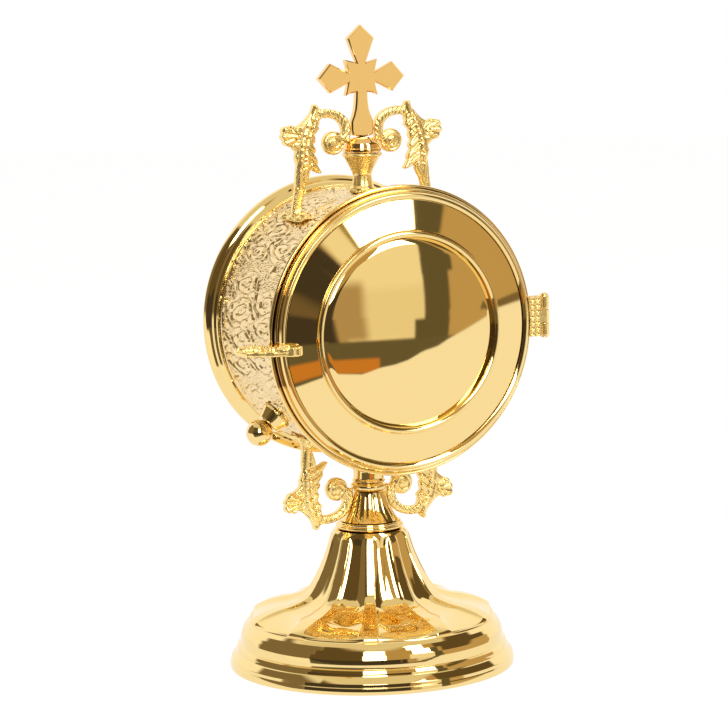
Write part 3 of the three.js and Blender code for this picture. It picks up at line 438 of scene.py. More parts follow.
@dataclass(frozen=True)
class NodeMaker:
    """Adds nodes to the tree of a material or of the world."""

    tree: bpy.types.NodeTree

    def put(self, target: Socket, value: float | Colour | Socket) -> None:
        """Gives an input a number, a colour or what another node puts out.

        Args:
            target: the input.
            value: what it gets.
        """
        if isinstance(value, Socket):
            self.tree.links.new(value, target)
        else:
            target.default_value = (*value, 1) if isinstance(value, tuple) else value

    def add(self, kind: str, inputs: dict[str | int, float | Colour | Socket], **settings: str) -> bpy.types.Node:
        """Adds a node.

        Args:
            kind: its type.
            inputs: what its inputs get, by their name or place.
            settings: its own settings.

        Returns:
            The node.
        """
        node = self.tree.nodes.new("ShaderNode" + kind)
        for name, value in settings.items():
            setattr(node, name, value)
        for key, value in inputs.items():
            self.put(node.inputs[key], value)
        return node


@dataclass(frozen=True)
class GoldFinish:
    """A gold-plated surface: its colour, gloss, grain and the shade painted into its recesses."""

    name: str
    slot: str
    colour: Colour
    roughness: float
    roughness_spread: float = 0.03
    grain_size: float = 60.0
    bump: float = 0.0
    bump_size: float = 900.0
    # Painted shade: its strength, the pointiness span it fades over, and the dark colour put into the hollows.
    painted_shade: float = 0.0
    painted_shade_span: tuple[float, float] = (0.485, 0.42)
    painted_shade_colour: Colour = (0.16, 0.08, 0.02)
    metallic: float = 1.0

    def material(self) -> bpy.types.Material:
        """Makes the finish's material once.

        Returns:
            The material, made on the first call and found again later.
        """
        found = bpy.data.materials.get(self.name)
        if found:
            return found
        made = bpy.data.materials.new(self.name)
        made.use_nodes = True
        maker = NodeMaker(made.node_tree)
        inputs = made.node_tree.nodes["Principled BSDF"].inputs
        place = maker.add("TexCoord", {}).outputs["Object"]
        maker.put(inputs["Metallic"], self.metallic)
        maker.put(inputs["Base Color"], self.colour)
        maker.put(inputs["Roughness"], self._gloss(maker, place))
        # Painted shade: the hollows get a darker colour.
        if self.painted_shade:
            maker.put(inputs["Base Color"], self._paint_hollow_shade(maker))
        if self.bump:
            maker.put(inputs["Normal"], self._grain(maker, place))
        return made

    def _gloss(self, maker: NodeMaker, place: Socket) -> Socket:
        """Varies the gloss in soft patches, as plating and handling leave it.

        Args:
            maker: adds the nodes.
            place: the place on the piece.

        Returns:
            The roughness.
        """
        noise = maker.add("TexNoise", {"Vector": place, "Scale": self.grain_size, "Detail": 5})
        return maker.add("MapRange", {
            "Value": noise.outputs["Fac"], "From Min": 0.3, "From Max": 0.7,
            "To Min": max(self.roughness - self.roughness_spread, 0.01),
            "To Max": self.roughness + self.roughness_spread}).outputs["Result"]

    def _paint_hollow_shade(self, maker: NodeMaker) -> Socket:
        """Paints shade into the hollows: a darker colour where the surface curves inward.

        Args:
            maker: adds the nodes.

        Returns:
            The colour.
        """
        shape = maker.add("NewGeometry", {})
        share = maker.add("MapRange", {"Value": shape.outputs["Pointiness"], "From Min": self.painted_shade_span[0],
                                       "From Max": self.painted_shade_span[1], "To Max": self.painted_shade})
        mix = maker.add("Mix", {"Factor": share.outputs["Result"], "A": self.colour, "B": self.painted_shade_colour},
                        data_type="RGBA")
        return mix.outputs["Result"]

    def _grain(self, maker: NodeMaker, place: Socket) -> Socket:
        """Adds the fine relief that casting or stippling leaves.

        Args:
            maker: adds the nodes.
            place: the place on the piece.

        Returns:
            The normal.
        """
        noise = maker.add("TexNoise", {"Vector": place, "Scale": self.bump_size, "Detail": 3})
        return maker.add("Bump", {"Height": noise.outputs["Fac"], "Strength": 1.0,
                                  "Distance": self.bump * MM}).outputs["Normal"]


POLISHED = GoldFinish("polished_gold", "gold_polished", (0.95, 0.72, 0.31), 0.03, 0.015, 40.0, 0.0015, 250.0)
# CAST paints shade into its hollows, by its ninth value and a darker colour.
CAST = GoldFinish("cast_gold", "gold_cast", (1.0, 0.75, 0.29), 0.24, 0.05, 500.0, 0.015, 900.0, 0.8,
                  painted_shade_colour=(0.36, 0.17, 0.03), metallic=0.9)
SATIN = GoldFinish("satin_gold", "gold_satin", (1.0, 0.67, 0.27), 0.07, 0.02, 300.0, 0.0008, 500.0)
# CHASED paints shade into the chasing's hollows, by its ninth value.
CHASED = GoldFinish("chased_gold", "gold_chased", (0.98, 0.76, 0.40), 0.26, 0.05, 700.0, 0.01, 1400.0, 0.95)
BRASS = GoldFinish("plain_brass", "brass_plain", (0.62, 0.42, 0.16), 0.34, 0.06, 400.0, 0.01, 1200.0)


def dress(obj: bpy.types.Object, finish: GoldFinish, body: Body, *nodes: str) -> None:
    """Gives a piece its finish and its place in the assembly.

    Args:
        obj: the piece.
        finish: its finish.
        body: the body that it rides on.
        nodes: the solids that it stands for.
    """
    obj.data.materials.clear()
    obj.data.materials.append(finish.material())
    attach(obj, body.value)
    if nodes:
        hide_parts(*nodes)


def dress_node(name: str, finish: GoldFinish) -> None:
    """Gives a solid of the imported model, which stays, its finish.

    Args:
        name: the solid's name.
        finish: its finish.
    """
    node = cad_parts[name]
    material = finish.material()
    if not node.material_slots:
        node.data.materials.append(material)
    for slot in node.material_slots:
        slot.material = material


# Room and studio


@dataclass(frozen=True)
class Patch:
    """A part of the room as the holder sees it.

    Its span is in degrees, with a low azimuth edge that may slant with the elevation, its colour is
    linear, and its edges are soft over a few degrees.
    """

    azimuth: tuple[float, float]
    elevation: tuple[float, float]
    colour: Colour
    soft: float = 0.8
    drift: float = 0.0


class RoomNodes(NodeMaker):
    """Builds the room's colour from the direction of a ray.

    Azimuth is counted from the door's front towards the hinge side.
    """

    BASE = (1.06, 1.04, 1.02)
    DARK = (0.058, 0.046, 0.034)
    COLUMN = (0.13, 0.11, 0.065)
    PATCHES = (
        Patch((-200, 200), (52, 100), (0.78, 0.72, 0.58), 5),
        Patch((-142, -80), (-2, 50), (0.22, 0.17, 0.1), 3),
        Patch((-82, 97), (-30, 53), (0.50, 0.35, 0.16), 2),
        Patch((-82, 4.5), (-30, 11), DARK, 0.8),
        Patch((-82, 7), (8.5, 12), DARK, 0.8),
        Patch((-2, 0), (-2, 3), (0.17, 0.12, 0.065), 0.7),
        Patch((-82, -34), (10, 53), (0.12, 0.085, 0.04), 2),
        Patch((42, 98), (18, 53), (0.12, 0.085, 0.04), 2),
        Patch((-34, -14), (12, 50), (7.0, 7.0, 7.0), 0.8),
        Patch((7, 31), (-8.7, 15.5), (0.94, 0.88, 0.74), 0.8),
        Patch((12, 31), (-8.7, 4), (0.86, 0.79, 0.62), 1.8),
        Patch((4.5, 13), (-8.7, 6), (0.46, 0.34, 0.2), 1.8),
        Patch((12.5, 31), (15.5, 52), (7.0, 7.0, 7.1), 0.6, -0.067),
        Patch((11.6, 12.8), (15, 52), (0.4, 0.3, 0.15), 0.4, -0.067),
        Patch((38, 98), (-8, 19), (0.54, 0.39, 0.2), 1.5),
        Patch((48, 58), (-3.5, -2), (0.2, 0.15, 0.08), 0.4),
        Patch((30.3, 38), (-12, 45), COLUMN, 0.6),
        Patch((27.3, 38), (-14, -4), COLUMN, 0.6),
        Patch((30.3, 39.5), (6, 10), COLUMN, 0.6),
        Patch((-82, 41), (-30, -8.7), (0.14, 0.12, 0.075), 0.6),
        Patch((-20, 16), (-18.5, -13.8), (0.60, 0.24, 0.045), 0.7),
    )

    def math(self, operation: str, *values: float | Socket) -> Socket:
        """Adds a math node; each value is a number or a socket."""
        return self.add("Math", dict(enumerate(values)), operation=operation).outputs[0]

    def ease(self, value: Socket, low: float, high: float) -> Socket:
        """Adds a smooth step from low to high."""
        inputs = {"Value": value, "From Min": low, "From Max": high}
        return self.add("MapRange", inputs, interpolation_type="SMOOTHSTEP").outputs["Result"]

    def blend(self, share: Socket, first: Colour | Socket, second: Colour | Socket) -> Socket:
        """Mixes two colours, by the share of the second."""
        return self.add("Mix", {"Factor": share, "A": first, "B": second}, data_type="RGBA").outputs["Result"]

    def surroundings(self) -> Socket:
        """Gives the room's colour in the direction of a ray that leaves the scene.

        Returns:
            The colour.
        """
        x, y, z = self.add("SeparateXYZ", {"Vector": self.add("TexCoord", {}).outputs["Generated"]}).outputs
        azimuth = self.math("DEGREES", self.math("ARCTAN2", x, self.math("MULTIPLY", y, -1.0)))
        return self.colour(azimuth, self.math("DEGREES", self.math("ARCSINE", z)))

    def colour(self, azimuth: Socket, elevation: Socket) -> Socket:
        """Layers the patches over the room's base colour.

        Args:
            azimuth: direction round the room, in degrees.
            elevation: direction over the horizon, in degrees.

        Returns:
            The colour.
        """
        colour = self.BASE
        for patch in self.PATCHES:
            colour = self.blend(self.mask(azimuth, elevation, patch), colour, patch.colour)
        return colour

    def mask(self, azimuth: Socket, elevation: Socket, patch: Patch) -> Socket:
        """Gives 1 inside a patch and 0 outside it.

        Args:
            azimuth: direction round the room, in degrees.
            elevation: direction over the horizon, in degrees.
            patch: the patch.

        Returns:
            The mask.
        """
        low, high = patch.elevation
        left = azimuth
        if patch.drift:
            left = self.math("ADD", azimuth, self.math("MULTIPLY_ADD", elevation, -patch.drift, low * patch.drift))
        product = 1.0
        for value, sign, limit in ((left, 1, patch.azimuth[0]), (azimuth, -1, patch.azimuth[1]),
                                   (elevation, 1, low), (elevation, -1, high)):
            inside = self.math("MULTIPLY_ADD", value, sign, -sign * limit)
            product = self.math("MULTIPLY", self.ease(inside, -patch.soft, patch.soft), product)
        return product


@dataclass(frozen=True)
class Studio:
    """The floor, the surroundings that the gold mirrors, the lamps and the camera."""

    camera_place: tuple[float, float, float] = (-496.8, -1013.3, 275.2)
    yaw: float = 26.077
    pitch: float = 8.089
    roll: float = -1.186
    focal_pixels: float = 3014.16
    picture: float = 728.0
    floor_radius: float = 3000.0
    sweep_edge: tuple[tuple[float, float], ...] = (
        (-180, 0), (180, 0), (-130, 5), (-100, 30), (-80, 34), (-50, 30), (-20, 22), (2.3, 18.3), (10, 18.8),
        (12.7, 18), (16.4, 16.8), (21, 16.1), (25.6, 14.8), (30.2, 12.4), (34.9, 11.3), (38.5, 9.4), (42.3, 8),
        (48.2, 5.8), (54.5, 3.5), (70, 1), (95, 0), (120, 0))

    floor_white: float = 0.965
    floor_seam: float = 0.4
    door_y: float = -37.0
    lamps: tuple[tuple[str, tuple[float, float, float], float, float], ...] = (
        ("lamp_left", (-900, -500, 900), 600, 9.0), ("lamp_right", (900, -300, 700), 500, 5.0),
        ("lamp_top", (0, 100, 1300), 700, 8.0))

    def build(self) -> None:
        """Makes the whole studio."""
        self.build_camera()
        self.build_world()
        self.build_floor()
        self.build_lamps()

    def build_camera(self) -> None:
        """Places the camera as the photograph was taken."""
        yaw, pitch, roll = (math.radians(v) for v in (self.yaw, self.pitch, self.roll))
        forward = Vector((math.sin(yaw) * math.cos(pitch), math.cos(yaw) * math.cos(pitch), -math.sin(pitch)))
        right = Vector((math.cos(yaw), -math.sin(yaw), 0))
        up = right.cross(forward)
        level_right = math.cos(roll) * right + math.sin(roll) * up
        level_up = -math.sin(roll) * right + math.cos(roll) * up
        data = bpy.data.cameras.new("camera")
        data.sensor_width = 36.0
        data.lens = self.focal_pixels / self.picture * data.sensor_width
        data.clip_start = 0.02
        data.clip_end = 20.0
        camera = bpy.data.objects.new("camera", data)
        axes = Matrix((level_right, level_up, -forward)).transposed().to_4x4()
        camera.matrix_world = Matrix.Translation(Vector(self.camera_place) * MM) @ axes
        bpy.context.scene.collection.objects.link(camera)
        bpy.context.scene.camera = camera

    def build_world(self) -> None:
        """Surrounds the holder with a pale room that has a dark side behind the camera."""
        world = bpy.data.worlds.new("studio")
        bpy.context.scene.world = world
        world.use_nodes = True
        world.node_tree.nodes.clear()
        room = RoomNodes(world.node_tree)
        seen = room.add("LightPath", {}).outputs["Is Camera Ray"]
        back = room.add("Background", {"Color": room.blend(seen, room.surroundings(), WHITE)})
        room.add("OutputWorld", {"Surface": back.outputs["Background"]})

    def build_floor(self) -> None:
        """Lays a pale floor that shows white to the camera and keeps a faint shadow."""
        outline = np.array([(0.001, 0.0), (self.floor_radius, 0.0)])
        floor = turned("floor", outline, Turn.UPRIGHT, 96, -0.1, False)
        if floor.data.polygons[0].normal.z < 0:
            floor.data.flip_normals()
        material = bpy.data.materials.new("floor_sweep")
        material.use_nodes = True
        nodes, room = material.node_tree.nodes, RoomNodes(material.node_tree)
        cloth = nodes["Principled BSDF"]
        room.put(cloth.inputs["Base Color"], (0.88, 0.87, 0.85))
        room.put(cloth.inputs["Roughness"], 0.9)
        room.put(cloth.inputs["Specular IOR Level"], 0.0)
        seen = room.add("LightPath", {})
        mirrored = room.add("Emission", {"Color": self.mirrored_floor(room)})
        lit = room.add("MixShader", {"Fac": seen.outputs["Is Glossy Ray"], 1: cloth.outputs["BSDF"],
                                     2: mirrored.outputs["Emission"]})
        share = room.math("MULTIPLY", seen.outputs["Is Camera Ray"], self.floor_white)
        shown = room.add("MixShader", {"Fac": share, 1: lit.outputs["Shader"],
                                       2: room.add("Emission", {}).outputs["Emission"]})
        room.put(nodes["Material Output"].inputs["Surface"], shown.outputs["Shader"])
        floor.data.materials.append(material)

    def mirrored_floor(self, room: RoomNodes) -> Socket:
        """Gives the floor that the gold mirrors: white near by, the room past the sweep's front edge.

        The edge is counted as the angle below the door's centre, by the direction it is seen in.

        Args:
            room: adds the nodes.

        Returns:
            The colour.
        """
        place = room.add("NewGeometry", {}).outputs["Position"]
        split = room.add("SeparateXYZ", {"Vector": place})
        x, y = split.outputs["X"], room.math("ADD", split.outputs["Y"], -self.door_y * MM)
        azimuth = room.math("DEGREES", room.math("ARCTAN2", x, room.math("MULTIPLY", y, -1.0)))
        far = room.math("SQRT", room.math("ADD", room.math("MULTIPLY", x, x), room.math("MULTIPLY", y, y)))
        below = room.math("DEGREES", room.math("ARCTAN2", DRUM_Z * MM, far))
        curve = room.add("FloatCurve", {"Value": room.math("MULTIPLY_ADD", azimuth, 1 / 360, 0.5)})
        points = curve.mapping.curves[0].points
        for index, (turn, angle) in enumerate(self.sweep_edge):
            spot = (0.5 + turn / 360, angle / 90)
            if index < 2:
                points[index].location = spot
            else:
                points.new(*spot)
        for point in points:
            point.handle_type = "VECTOR"
        curve.mapping.update()
        edge = room.math("MULTIPLY", curve.outputs["Value"], 90.0)
        near = room.ease(room.math("SUBTRACT", below, edge), -self.floor_seam, self.floor_seam)
        beyond = room.colour(azimuth, room.math("MULTIPLY", below, -1.0))
        return room.blend(near, beyond, (1.0, 0.99, 1.0))

    def build_lamps(self) -> None:
        """Hangs soft lamps left, right and overhead."""
        for name, place, size, power in self.lamps:
            data = bpy.data.lights.new(name, "AREA")
            data.shape = "SQUARE"
            data.size = size * MM
            data.energy = power
            lamp = bpy.data.objects.new(name, data)
            lamp.location = Vector(place) * MM
            aim = Vector((0, 0, DRUM_Z)) * MM - lamp.location
            lamp.rotation_euler = aim.to_track_quat("-Z", "Y").to_euler()
            lamp.visible_glossy = False
            bpy.context.scene.collection.objects.link(lamp)


# Foot and stem


@dataclass
class Foot:
    """The fluted foot, with its stepped mouldings, and what closes and clamps it."""

    radius: float = 54.33
    height: float = 52.0
    neck: float = 13.4
    moulding_height: float = 17.8
    moulding_inset: float = 7.5
    wall: float = 1.3
    flutes: int = 10
    flute_depth: float = 2.0
    rib_azimuth: float = -117.0
    rib_neck_half: float = 1.4
    rib_half: float = 3.0
    columns_per_flute: int = 56
    shelf_loss: float = 0.3
    shelf_radius: float = 46.5
    trumpet: Outline = (
        (0, 1), (0.054, 0.918), (0.119, 0.722), (0.222, 0.488), (0.357, 0.284), (0.54, 0.202), (0.722, 0.164),
        (0.862, 0.12), (0.949, 0.08), (0.994, 0.05), (1.008, 0.022), (1, 0))
    mouldings: Outline = (
        (7.55, 17.6, 0.1), (6.3, 16.4, 0.8), (5.4, 15.05, 0.8), (4.7, 13.55, 0.8), (4.3, 11.95, 0.8),
        (4.1, 10.3, 0.5), (4.0, 8.7, 0.15), (3.2, 8.4, 0.15), (2.8, 7.3, 0.3), (2.6, 6.3, 0.2), (2.2, 6.0, 0.2),
        (0.6, 3.9, 0.4), (0.45, 2.7, 0.15), (0.2, 2.4, 0.15), (0.0, 1.2, 0.4), (0.1, 0.0, 0.2))

    def build(self) -> None:
        """Makes the foot's pieces and dresses them."""
        dress(self.shell(), POLISHED, Body.CASE, "foot_shell")
        dress(self.plate(), BRASS, Body.CASE, "base_plate")
        for name in ("foot_washer", "foot_nut", "drum_washer", "drum_nut", "finial_nut"):
            dress_node(name, BRASS)

    def trumpet_points(self, inward: float = 0.0, lower: float = 0.0) -> Outline:
        """Places the trumpet's outline.

        Args:
            inward: how far it is moved towards the axis.
            lower: how far it is moved down.

        Returns:
            Its points, in millimetres.
        """
        span = self.radius - self.moulding_inset - self.neck
        rise = self.height - self.moulding_height
        return [(self.neck + u * span - inward, self.moulding_height + v * rise - lower) for u, v in self.trumpet]

    def flute_depths(self, curve: np.ndarray) -> np.ndarray:
        """Gives the flutes' depth along the trumpet: faded at its neck and edge, and less on the shelf.

        Args:
            curve: points of the trumpet's outline.

        Returns:
            The depth at each point.
        """
        share = np.linspace(0, 1, len(curve))
        depth = self.flute_depth * smoothstep(share, 0, 0.13) * (1 - self.shelf_loss * smoothstep(share, 0.3, 0.7))
        return depth * ((1 - smoothstep(share, 0.9, 1.0)) * np.sqrt(np.clip(curve[:, 0] / self.shelf_radius, 0, 1)))

    def fluted(self, turn: np.ndarray) -> tuple[np.ndarray, np.ndarray]:
        """Presses the flutes into the trumpet.

        Args:
            turn: angle of each column from the first rib.

        Returns:
            Radius and level of its points, row by row.
        """
        curve, unit = spline(self.trumpet_points(), 14), 2 * math.pi / self.flutes
        slope = np.gradient(curve, axis=0)
        slope /= np.linalg.norm(slope, axis=1)[:, None]
        outward = np.stack([-slope[:, 1], slope[:, 0]], -1)
        local = np.mod(turn + unit / 2, unit) - unit / 2
        grow = np.clip((curve[:, 0] - self.neck) / (40 - self.neck), 0, 1)
        half = (self.rib_neck_half + (self.rib_half - self.rib_neck_half) * grow) / curve[:, 0]
        across = np.clip((np.abs(local)[None] - half[:, None]) / (unit / 2 - half[:, None]), 0, 1)
        pressed = self.flute_depths(curve)[:, None] * (1 - (1 - across) ** 3)
        return curve[:, :1] - outward[:, :1] * pressed, curve[:, 1:2] - outward[:, 1:2] * pressed

    def shell(self) -> bpy.types.Object:
        """Makes the spun shell with its flutes.

        Returns:
            The shell.
        """
        columns = self.flutes * self.columns_per_flute
        turn = np.arange(columns) * (2 * math.pi / self.flutes) / self.columns_per_flute
        radius, level = self.fluted(turn)
        throat = self.radius - self.moulding_inset - self.wall
        outline = rounded([(self.radius - inset, z, *r) for inset, z, *r in self.mouldings], 0.2, 4, False)
        inner = [(self.radius - 4, 0), (self.radius - 4, 1.7), (self.radius - 6, 1.7), (throat, 13.4)]
        inside = spline(self.trumpet_points(self.wall, 3.6)[::-1][:-1], 3)
        inside[:, 0] = np.minimum(inside[:, 0], throat)
        under = [(self.neck - 2 * self.wall, self.height - 2.2), (2.8, self.height - 2.2), (2.8, self.height)]
        plain = np.vstack([outline, inner, inside, under])
        radius = np.vstack([radius, np.repeat(plain[:, :1], columns, 1)])
        level = np.vstack([level, np.repeat(plain[:, 1:], columns, 1)])
        return swept("fluted_foot", radius, level, math.radians(self.rib_azimuth) + turn, crease=30)

    def plate(self) -> bpy.types.Object:
        """Makes the plate under the foot.

        Returns:
            The plate.
        """
        edge = self.radius - 4.3
        outline = rounded([(0.01, 0.35), (edge - 9, 0.35), (edge - 8.2, 0), (edge, 0), (edge, 1.4), (0.01, 1.4)], 0.3)
        return turned("foot_plate", outline, Turn.UPRIGHT)


@dataclass
class Stem:
    """The turned pieces between foot and drum, and the rod through them."""

    bore: float = 2.8
    collar_base: float = 52.3
    cone_base: float = 55.3
    ring_base: float = 66.6
    saddle_base: float = 70.1

    def build(self) -> None:
        """Makes the stem's pieces and dresses them."""
        dress(self.collar(), POLISHED, Body.CASE, "stem_collar")
        dress(self.cone(), POLISHED, Body.CASE, "stem_cone")
        dress(self.ring(), POLISHED, Body.CASE, "stem_ring")
        dress(self.saddle(), POLISHED, Body.CASE, "saddle_cup")
        rod = turned("stem_rod", np.array([(0.01, 45.2), (2.4, 45.2), (2.5, 45.4), (2.5, 88.5), (2.4, 88.7),
                                           (0.01, 88.7)]), Turn.UPRIGHT, 48)
        low, high = (corner.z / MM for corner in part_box("tie_rod"))
        points = mesh_points(rod.data)
        bottom, top = points[:, 2].min(), points[:, 2].max()
        points[:, 2] = low + (points[:, 2] - bottom) / (top - bottom) * (high - low)
        move_points(rod.data, points)
        dress(rod, BRASS, Body.CASE, "tie_rod")

    def collar(self) -> bpy.types.Object:
        """Makes the beaded collar on the foot's neck.

        Returns:
            The collar.
        """
        z = self.collar_base
        outline = rounded([(self.bore, z), (12.2, z, 0.3), (12.9, z + 0.6, 0.6), (12.8, z + 1.5, 0.6),
                           (12.0, z + 1.75, 0.2), (12.1, z + 2.1, 0.2), (11.9, z + 2.7, 0.4), (self.bore, z + 2.7)])
        return turned("stem_bead", outline, Turn.UPRIGHT)

    def cone(self) -> bpy.types.Object:
        """Makes the small trumpet with its shallow flutes.

        Returns:
            The fluted cone.
        """
        z = self.cone_base
        t = np.linspace(0, 1, 26)[:, None]
        a, b, c = (np.array(p) for p in ((11.0, z), (7.4, z + 4.4), (6.2, z + 11)))
        curve = (1 - t) ** 2 * a + 2 * t * (1 - t) * b + t * t * c
        columns = 240
        turn = np.arange(columns) * 2 * math.pi / columns
        share = t[:, 0]
        depth = 0.25 * smoothstep(share, 0.02, 0.2) * (1 - smoothstep(share, 0.86, 0.98))
        wave = np.abs(np.sin(turn * 15 / 2 + 0.4))
        radius = curve[:, :1] - depth[:, None] * (1 - wave)[None] ** 2
        plain = np.array([(self.bore, z + 11), (self.bore, z)])
        radius = np.vstack([radius, np.repeat(plain[:, :1], columns, 1)])
        level = np.vstack([np.repeat(curve[:, 1:], columns, 1), np.repeat(plain[:, 1:], columns, 1)])
        return swept("stem_trumpet", radius, level, turn, crease=30)

    def ring(self) -> bpy.types.Object:
        """Makes the bead between cone and saddle.

        Returns:
            The bead.
        """
        z = self.ring_base
        outline = rounded([(self.bore, z), (5.8, z, 0.2), (6.2, z + 0.4, 0.2), (6.9, z + 0.8, 0.7), (7.0, z + 1.6, 0.9),
                           (6.9, z + 2.4, 0.7), (6.2, z + 2.8, 0.2), (5.8, z + 3.2, 0.2), (self.bore, z + 3.2)])
        return turned("stem_ring_bead", outline, Turn.UPRIGHT)

    def saddle(self) -> bpy.types.Object:
        """Makes the cup whose top follows the drum.

        Returns:
            The cup, its top hollowed to the band.
        """
        z, top = self.saddle_base, self.saddle_base + 10.9
        outline = rounded([(self.bore, z), (6.4, z, 0.3), (6.2, z + 0.6, 0.3), (5.8, z + 1.2, 0.6),
                           (5.75, z + 4.4, 2.5), (6.8, z + 6.4, 1.5), (7.6, z + 8.4, 1.5), (7.8, top, 0.3),
                           (7.8, top + 1.5, 0), (self.bore, top + 1.5, 0)])
        cup = turned("drum_saddle", outline, Turn.UPRIGHT)
        follow_drum(cup, top - 0.05, -1)
        return cup


# Drum and door


@dataclass
class Chasing:
    """The band's chased pattern: curls of leaf that fill the band, over a stippled ground.

    Each curl is given by its place along and across one repeat, its reach, its hand and its lobes. The
    drawing is stretched across the band.
    """

    repeats: int = 7
    height: float = 0.7
    margin: float = 2.0
    length: float = 49.0
    pitch: float = 2.6
    stretch: float = 2.0
    grain: float = 0.6
    curls: tuple[tuple[float, float, float, int, int], ...] = (
        (-15.5, -16.5, 6.2, 1, 7), (-6.0, -18.5, 4.6, -1, 5), (4.5, -15.0, 7.0, -1, 8), (14.8, -18.0, 5.2, 1, 6),
        (-12.0, -6.5, 5.4, -1, 6), (-2.5, -7.5, 4.2, 1, 5), (10.5, -5.5, 6.4, 1, 7), (18.5, -7.5, 4.4, -1, 5),
        (-17.5, 3.0, 5.6, 1, 6), (-7.0, 3.5, 6.8, 1, 8), (3.2, 3.0, 4.8, -1, 5), (13.5, 4.5, 5.0, -1, 6),
        (-13.0, 13.0, 4.6, -1, 5), (-3.0, 13.5, 5.6, -1, 7), (7.5, 12.5, 6.2, 1, 7), (17.5, 14.0, 5.4, 1, 6),
        (-16.0, 20.5, 4.4, 1, 5), (-7.0, 20.5, 4.2, 1, 5), (2.5, 20.8, 4.6, -1, 6), (11.5, 20.3, 4.4, -1, 5))

    def leaves(self, u: np.ndarray, v: np.ndarray, tile: float) -> tuple[np.ndarray, np.ndarray]:
        """Draws the curls of leaf.

        Args:
            u: place round the band in one repeat, in millimetres.
            v: place across the drawing.
            tile: length of one repeat.

        Returns:
            The height of the nearest curl, from 0 to 1, and the distance from its middle as a share of its reach.
        """
        best, ridge = np.full(u.shape, 9.0), np.zeros(u.shape)
        for place, level, reach, hand, lobes in self.curls:
            du = np.mod(u - place + tile / 2, tile) - tile / 2
            dv = v - level
            gap, turn = np.hypot(du, dv), np.arctan2(dv, du)
            share = gap / reach
            lobed = gap + 0.3 * share * np.cos(lobes * turn + hand * gap)
            wave = 0.5 - 0.5 * np.cos(2 * math.pi * (lobed / self.pitch + hand * turn / (2 * math.pi)))
            vein = 0.5 - 0.5 * np.cos(lobes * turn - hand * 1.6 * gap)
            curl = np.clip(1 - wave ** 4 - 0.6 * vein ** 10 * smoothstep(share, 0.4, 0.6), 0, 1)
            curl = np.where(gap < 0.8, 1 - 0.4 * (gap / 0.8) ** 2, curl)
            ridge = np.where(share < best, curl, ridge)
            best = np.minimum(best, share)
        return ridge, best

    def relief(self, along: np.ndarray, across: np.ndarray) -> np.ndarray:
        """Gives the relief over the band.

        Args:
            along: place round the band, in turns.
            across: place across the band, from its front to its back, in millimetres.

        Returns:
            The height of each point over the ground of the chasing.
        """
        tile = 2 * math.pi * BAND_RADIUS / self.repeats
        u = (np.mod(along * self.repeats, 1) - 0.5) * tile
        v = (across - self.length / 2) / self.stretch
        u, v = u + 0.7 * np.sin(v * 0.55 + 1.0), v + 0.7 * np.sin(u * 2 * math.pi * 3 / tile)
        ridge, share = self.leaves(u, v, tile)
        stipple = 0.5 + 0.5 * np.sin(u * 3.6 + 1.2 * np.sin(v * 1.7)) * np.sin(v * 3.8 + 1.1 * np.sin(u * 1.9))
        ground = smoothstep(share, 0.98, 1.08)
        raised = ridge * (1 - ground) + self.grain * stipple * ground
        edge = np.minimum(across, self.length - across)
        inside = smoothstep(edge, self.margin - 0.3, self.margin + 0.2)
        rule = 0.5 * np.exp(-((edge - self.margin + 0.8) / 0.28) ** 2)
        return self.height * (np.clip(raised, 0, 1) * inside + (1 - rule) * (1 - inside))


@dataclass
class SpunPanel:
    """A spun disc with a sloping edge, a ring bead and a dome."""

    radius: float
    rise: float
    dome: float
    edge: float
    direction: int
    thickness: float = 1.0
    slope_width: float = 12.3
    bead_half: float = 1.3
    bead_height: float = 1.4
    curl: float = 2.5
    gentle_slope: float = 0.0475

    def build(self, name: str) -> bpy.types.Object:
        """Makes the panel.

        Args:
            name: name of the piece.

        Returns:
            The panel.
        """
        bead = self.radius - self.slope_width
        outer, inner = bead + self.bead_half, bead - self.bead_half
        face = [(self.radius, 0.0, 0.15), (outer + 0.15, self.rise - 0.05, 0.15),
                (bead + 0.9, self.rise + 0.8 * self.bead_height, 0.6), (bead, self.rise + self.bead_height, 0.9),
                (bead - 0.9, self.rise + 0.6 * self.bead_height, 0.6), (inner, self.rise - self.bead_height / 2, 0.15)]
        front = [tuple(p) for p in rounded(face, 0.3, 5, False)]
        foot = self.rise - self.bead_height / 2
        radii = [*(inner - np.linspace(0, self.curl, 15)[1:]), *np.linspace(inner - self.curl, 0.01, 60)[1:]]
        dome = [(radius, foot + self.bulge(radius, inner)) for radius in radii]
        back = dome[::-1] + [(inner, foot), (outer, self.rise), (self.radius, 0.0)]
        outline = [(r, self.edge + self.direction * (self.thickness + up)) for r, up in front + dome]
        outline += [(r, self.edge + self.direction * up) for r, up in back]
        return spun_on_drum(name, np.array(outline))

    def bulge(self, radius: float, inner: float) -> float:
        """Gives the dome's rise: a shallow middle and an outer edge that curls down to the bead.

        Args:
            radius: distance from the disc's axis.
            inner: radius at which the dome meets the bead.

        Returns:
            The rise over the dome's foot.
        """
        turn, gentle = inner - self.curl, self.gentle_slope * self.dome
        if radius <= turn:
            return self.dome - gentle * radius ** 2 / (2 * turn)
        left = self.dome - gentle * turn / 2
        steep = 2 * left / self.curl - gentle
        past = radius - turn
        return left - gentle * past - (steep - gentle) * past ** 2 / (2 * self.curl)


